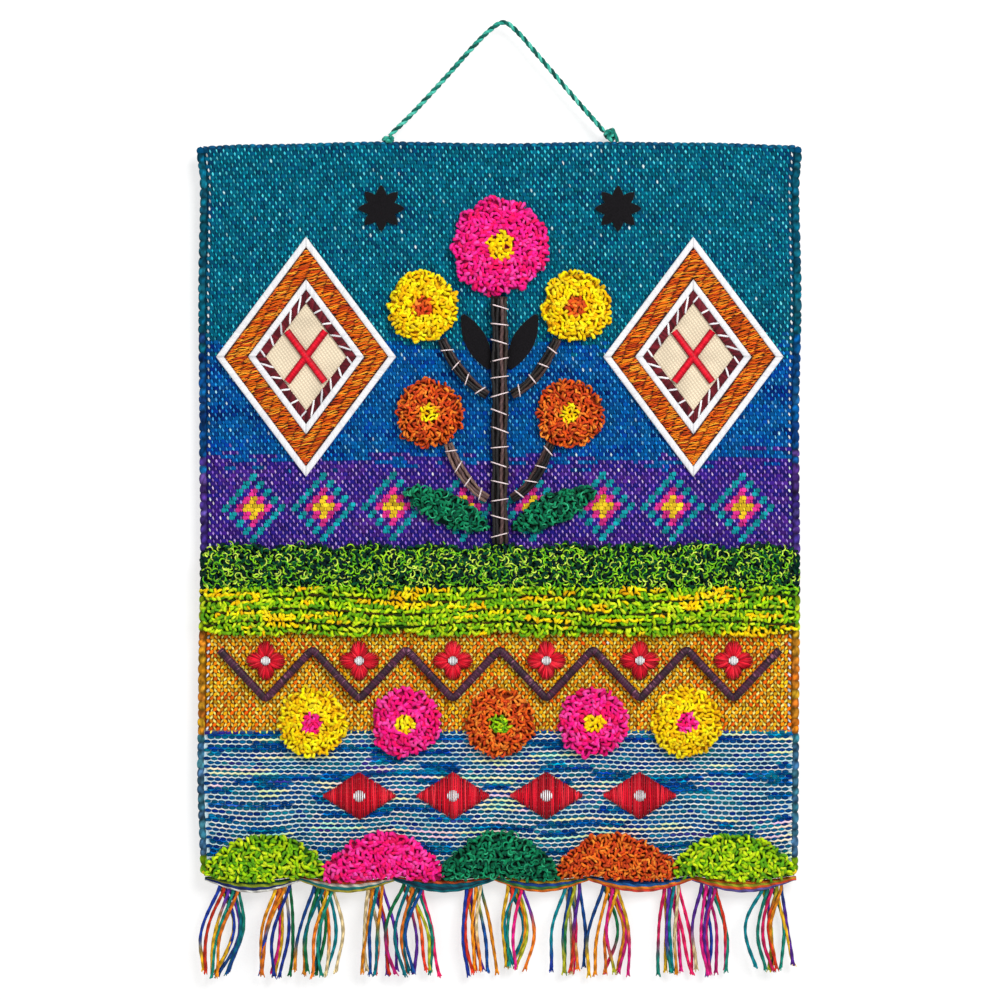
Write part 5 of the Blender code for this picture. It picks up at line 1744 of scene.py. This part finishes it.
def strand_colours(rng):
    """The colour at each ring of a tassel yarn, which may change along its length."""
    first, second = chosen(FRINGE_COLOURS, rng, 2)
    if rng.random() > DYED_SHARE:
        second = first
    turn = np.clip((np.linspace(0, 1, STRAND_RINGS) - rng.uniform(0.2, 0.8)) * 4 + 0.5, 0, 1)[:, None]
    return first * (1 - turn) + second * turn


def frayed_end(batch, line, colour, rng):
    """Fine fibres that splay from the end of a yarn."""
    way = unit(line[-1] - line[-3])
    t = np.linspace(0, 1, 4)[None, :, None]
    turn = rng.uniform(0, 2 * math.pi, FRAY_FIBRES)
    out = np.stack([np.cos(turn), 0.6 * np.sin(turn), np.zeros(FRAY_FIBRES)], axis=1)
    length = FRAY_LENGTH * rng.uniform(0.6, 1.05, (FRAY_FIBRES, 1, 1))
    paths = line[-2] + 0.5 * out[:, None] + way * length * t + out[:, None] * 0.9 * t**1.4
    shade = colour * rng.uniform(0.85, 1.15, (FRAY_FIBRES, 1))
    tubes(batch, paths, FRAY_YARN * (1.1 - 0.6 * t[0, :, 0]), shade, sides=4)


def make_fringe(look):
    """The header's yarn bundles and the tassels' two-ply yarns."""
    rng = np.random.default_rng(91)
    header, tassels = Batch(), Batch()
    for number, (start, end) in enumerate(zip(HEADER_ENDS, HEADER_ENDS[1:])):
        for k, (depth, height) in enumerate(HEADER_YARNS):
            ends = (start - HEADER_OVERLAP, end + HEADER_OVERLAP)
            line, radius = header_line(*ends, depth, height, HEADER_WOBBLE * k)
            colour = np.asarray(HEADER_SETS[number][k % 4], float)
            tubes(header, line[None], radius[None], [colour], sides=6, twist=HEADER_TWIST)
    for tassel in TASSELS:
        for layer in (-1, 1):
            for index in range(tassel[1]):
                line = strand_line(tassel, layer, index, rng)
                colours = strand_colours(rng)
                radius = STRAND_YARN * (1 + 0.08 * np.sin(np.linspace(0, 9, STRAND_RINGS) + index))
                tubes(tassels, line[None], radius[None], colours[None], sides=6, twist=STRAND_TWIST)
                frayed_end(tassels, line, colours[-1], rng)
    made = header.make("header_yarns", look, "fringe_yarn")
    tassels.make("tassel_yarns", look, "fringe_yarn")
    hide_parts(*[f"header_{n}" for n in range(1, 7)])


# The stage

def make_camera():
    """The camera, square on, with the whole hanging and its cord in view."""
    data = bpy.data.cameras.new("camera")
    data.lens = CAMERA_LENS
    data.clip_end = 20.0
    camera = bpy.data.objects.new("camera", data)
    camera.location = [MM * c for c in CAMERA_PLACE]
    camera.rotation_euler = (math.pi / 2, 0, 0)
    bpy.context.scene.collection.objects.link(camera)
    bpy.context.scene.camera = camera


def area_light(name, place, target, size, power):
    """A soft square light that faces its target."""
    data = bpy.data.lights.new(name, "AREA")
    data.shape = "SQUARE"
    data.size = size
    data.energy = power
    light = bpy.data.objects.new(name, data)
    light.location = place
    light.rotation_euler = (Vector(target) - Vector(place)).to_track_quat("-Z", "Y").to_euler()
    bpy.context.scene.collection.objects.link(light)


def plane(name, points, look):
    """A flat staged surface that isn't part of the object."""
    mesh = bpy.data.meshes.new(name)
    mesh.from_pydata(points, [], [(0, 1, 2, 3)])
    mesh.materials.append(look)
    made = bpy.data.objects.new(name, mesh)
    bpy.context.scene.collection.objects.link(made)
    return made


def wall_look():
    """A pale plain wall that is clear from behind."""
    made, nodes, links, shader = shader_of("wall_paint", 0.9, 0.0)
    shader.inputs["Base Color"].default_value = (WALL_GREY, WALL_GREY, WALL_GREY, 1)
    shader.inputs["Emission Color"].default_value = (1, 1, 1, 1)
    shader.inputs["Emission Strength"].default_value = WALL_GLOW
    clear = nodes.new("ShaderNodeBsdfTransparent")
    side = nodes.new("ShaderNodeNewGeometry")
    either = nodes.new("ShaderNodeMixShader")
    links.new(side.outputs["Backfacing"], either.inputs["Fac"])
    links.new(shader.outputs["BSDF"], either.inputs[1])
    links.new(clear.outputs["BSDF"], either.inputs[2])
    links.new(either.outputs["Shader"], nodes["Material Output"].inputs["Surface"])
    return made


def floor_look():
    """A pale plain floor with a faint unevenness."""
    made, nodes, links, shader = shader_of("floor_paint", 0.9, 0.0)
    place = nodes.new("ShaderNodeTexCoord")
    cloud = noise_at(nodes, links, place, 1.5, 2.0)
    level = nodes.new("ShaderNodeMapRange")
    level.inputs["To Min"].default_value = 0.84
    level.inputs["To Max"].default_value = 0.9
    links.new(cloud, level.inputs["Value"])
    links.new(level.outputs["Result"], shader.inputs["Base Color"])
    return made


def make_stage():
    """The pale wall close behind, the floor far below, the soft lights and the sky."""
    wall = plane("wall", WALL, wall_look())
    wall.visible_shadow = False
    wall.visible_diffuse = False
    wall.visible_glossy = False
    plane("floor", FLOOR, floor_look())
    for name, (place, size, power) in LIGHTS.items():
        area_light(name, place, LIGHT_TARGET, size, power)
    world = bpy.data.worlds.new("studio")
    world.use_nodes = True
    sky = world.node_tree.nodes["Background"]
    sky.inputs["Color"].default_value = (1, 1, 1, 1)
    sky.inputs["Strength"].default_value = SKY_POWER
    bpy.context.scene.world = world


def main():
    """Builds every piece on the frame."""
    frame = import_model()
    make_camera()
    make_cord(yarn_look("cord_yarn", roughness=0.55, sheen=0.1))
    weave = yarn_look("weave_yarn", roughness=0.75, sheen=0.0, grain_and_shade=(0.8, 1.15), gloss=0.05)
    make_ground(frame, weave)
    pile = yarn_look("pile_yarn", roughness=0.8, grain_and_shade=(0.8, 1.15))
    make_pile(frame, pile)
    dark = yarn_look("bark_yarn", roughness=0.48, grain_and_shade=(0.6, 1.7), gloss=0.3)
    make_plant(dark)
    make_zigzag(dark)
    satin = yarn_look("satin_thread", roughness=0.42, sheen=0.05, grain_and_shade=(0.88, 1.08), bump=0.12)
    white = yarn_look("white_thread", roughness=0.5, sheen=0.05, grain_and_shade=(0.94, 1.03), bump=0.1)
    make_satin(satin, white)
    make_strips(white)
    make_stitches(yarn_look("stitch_thread", roughness=0.6, sheen=0.1))
    make_slats(satin)
    make_patches(cloth_look("linen", LINEN_PITCH, LINEN_TURN))
    make_felt(yarn_look("felt_fibres", roughness=0.95, sheen=0.1, grain_and_shade=(0.6, 1.6), fibre=1800.0, bump=0.6))
    make_fringe(yarn_look("fringe_fibres", roughness=0.6, grain_and_shade=(0.86, 1.2), ply=1.7))
    make_stage()
    bpy.context.scene.view_settings.view_transform = "Standard"


main()
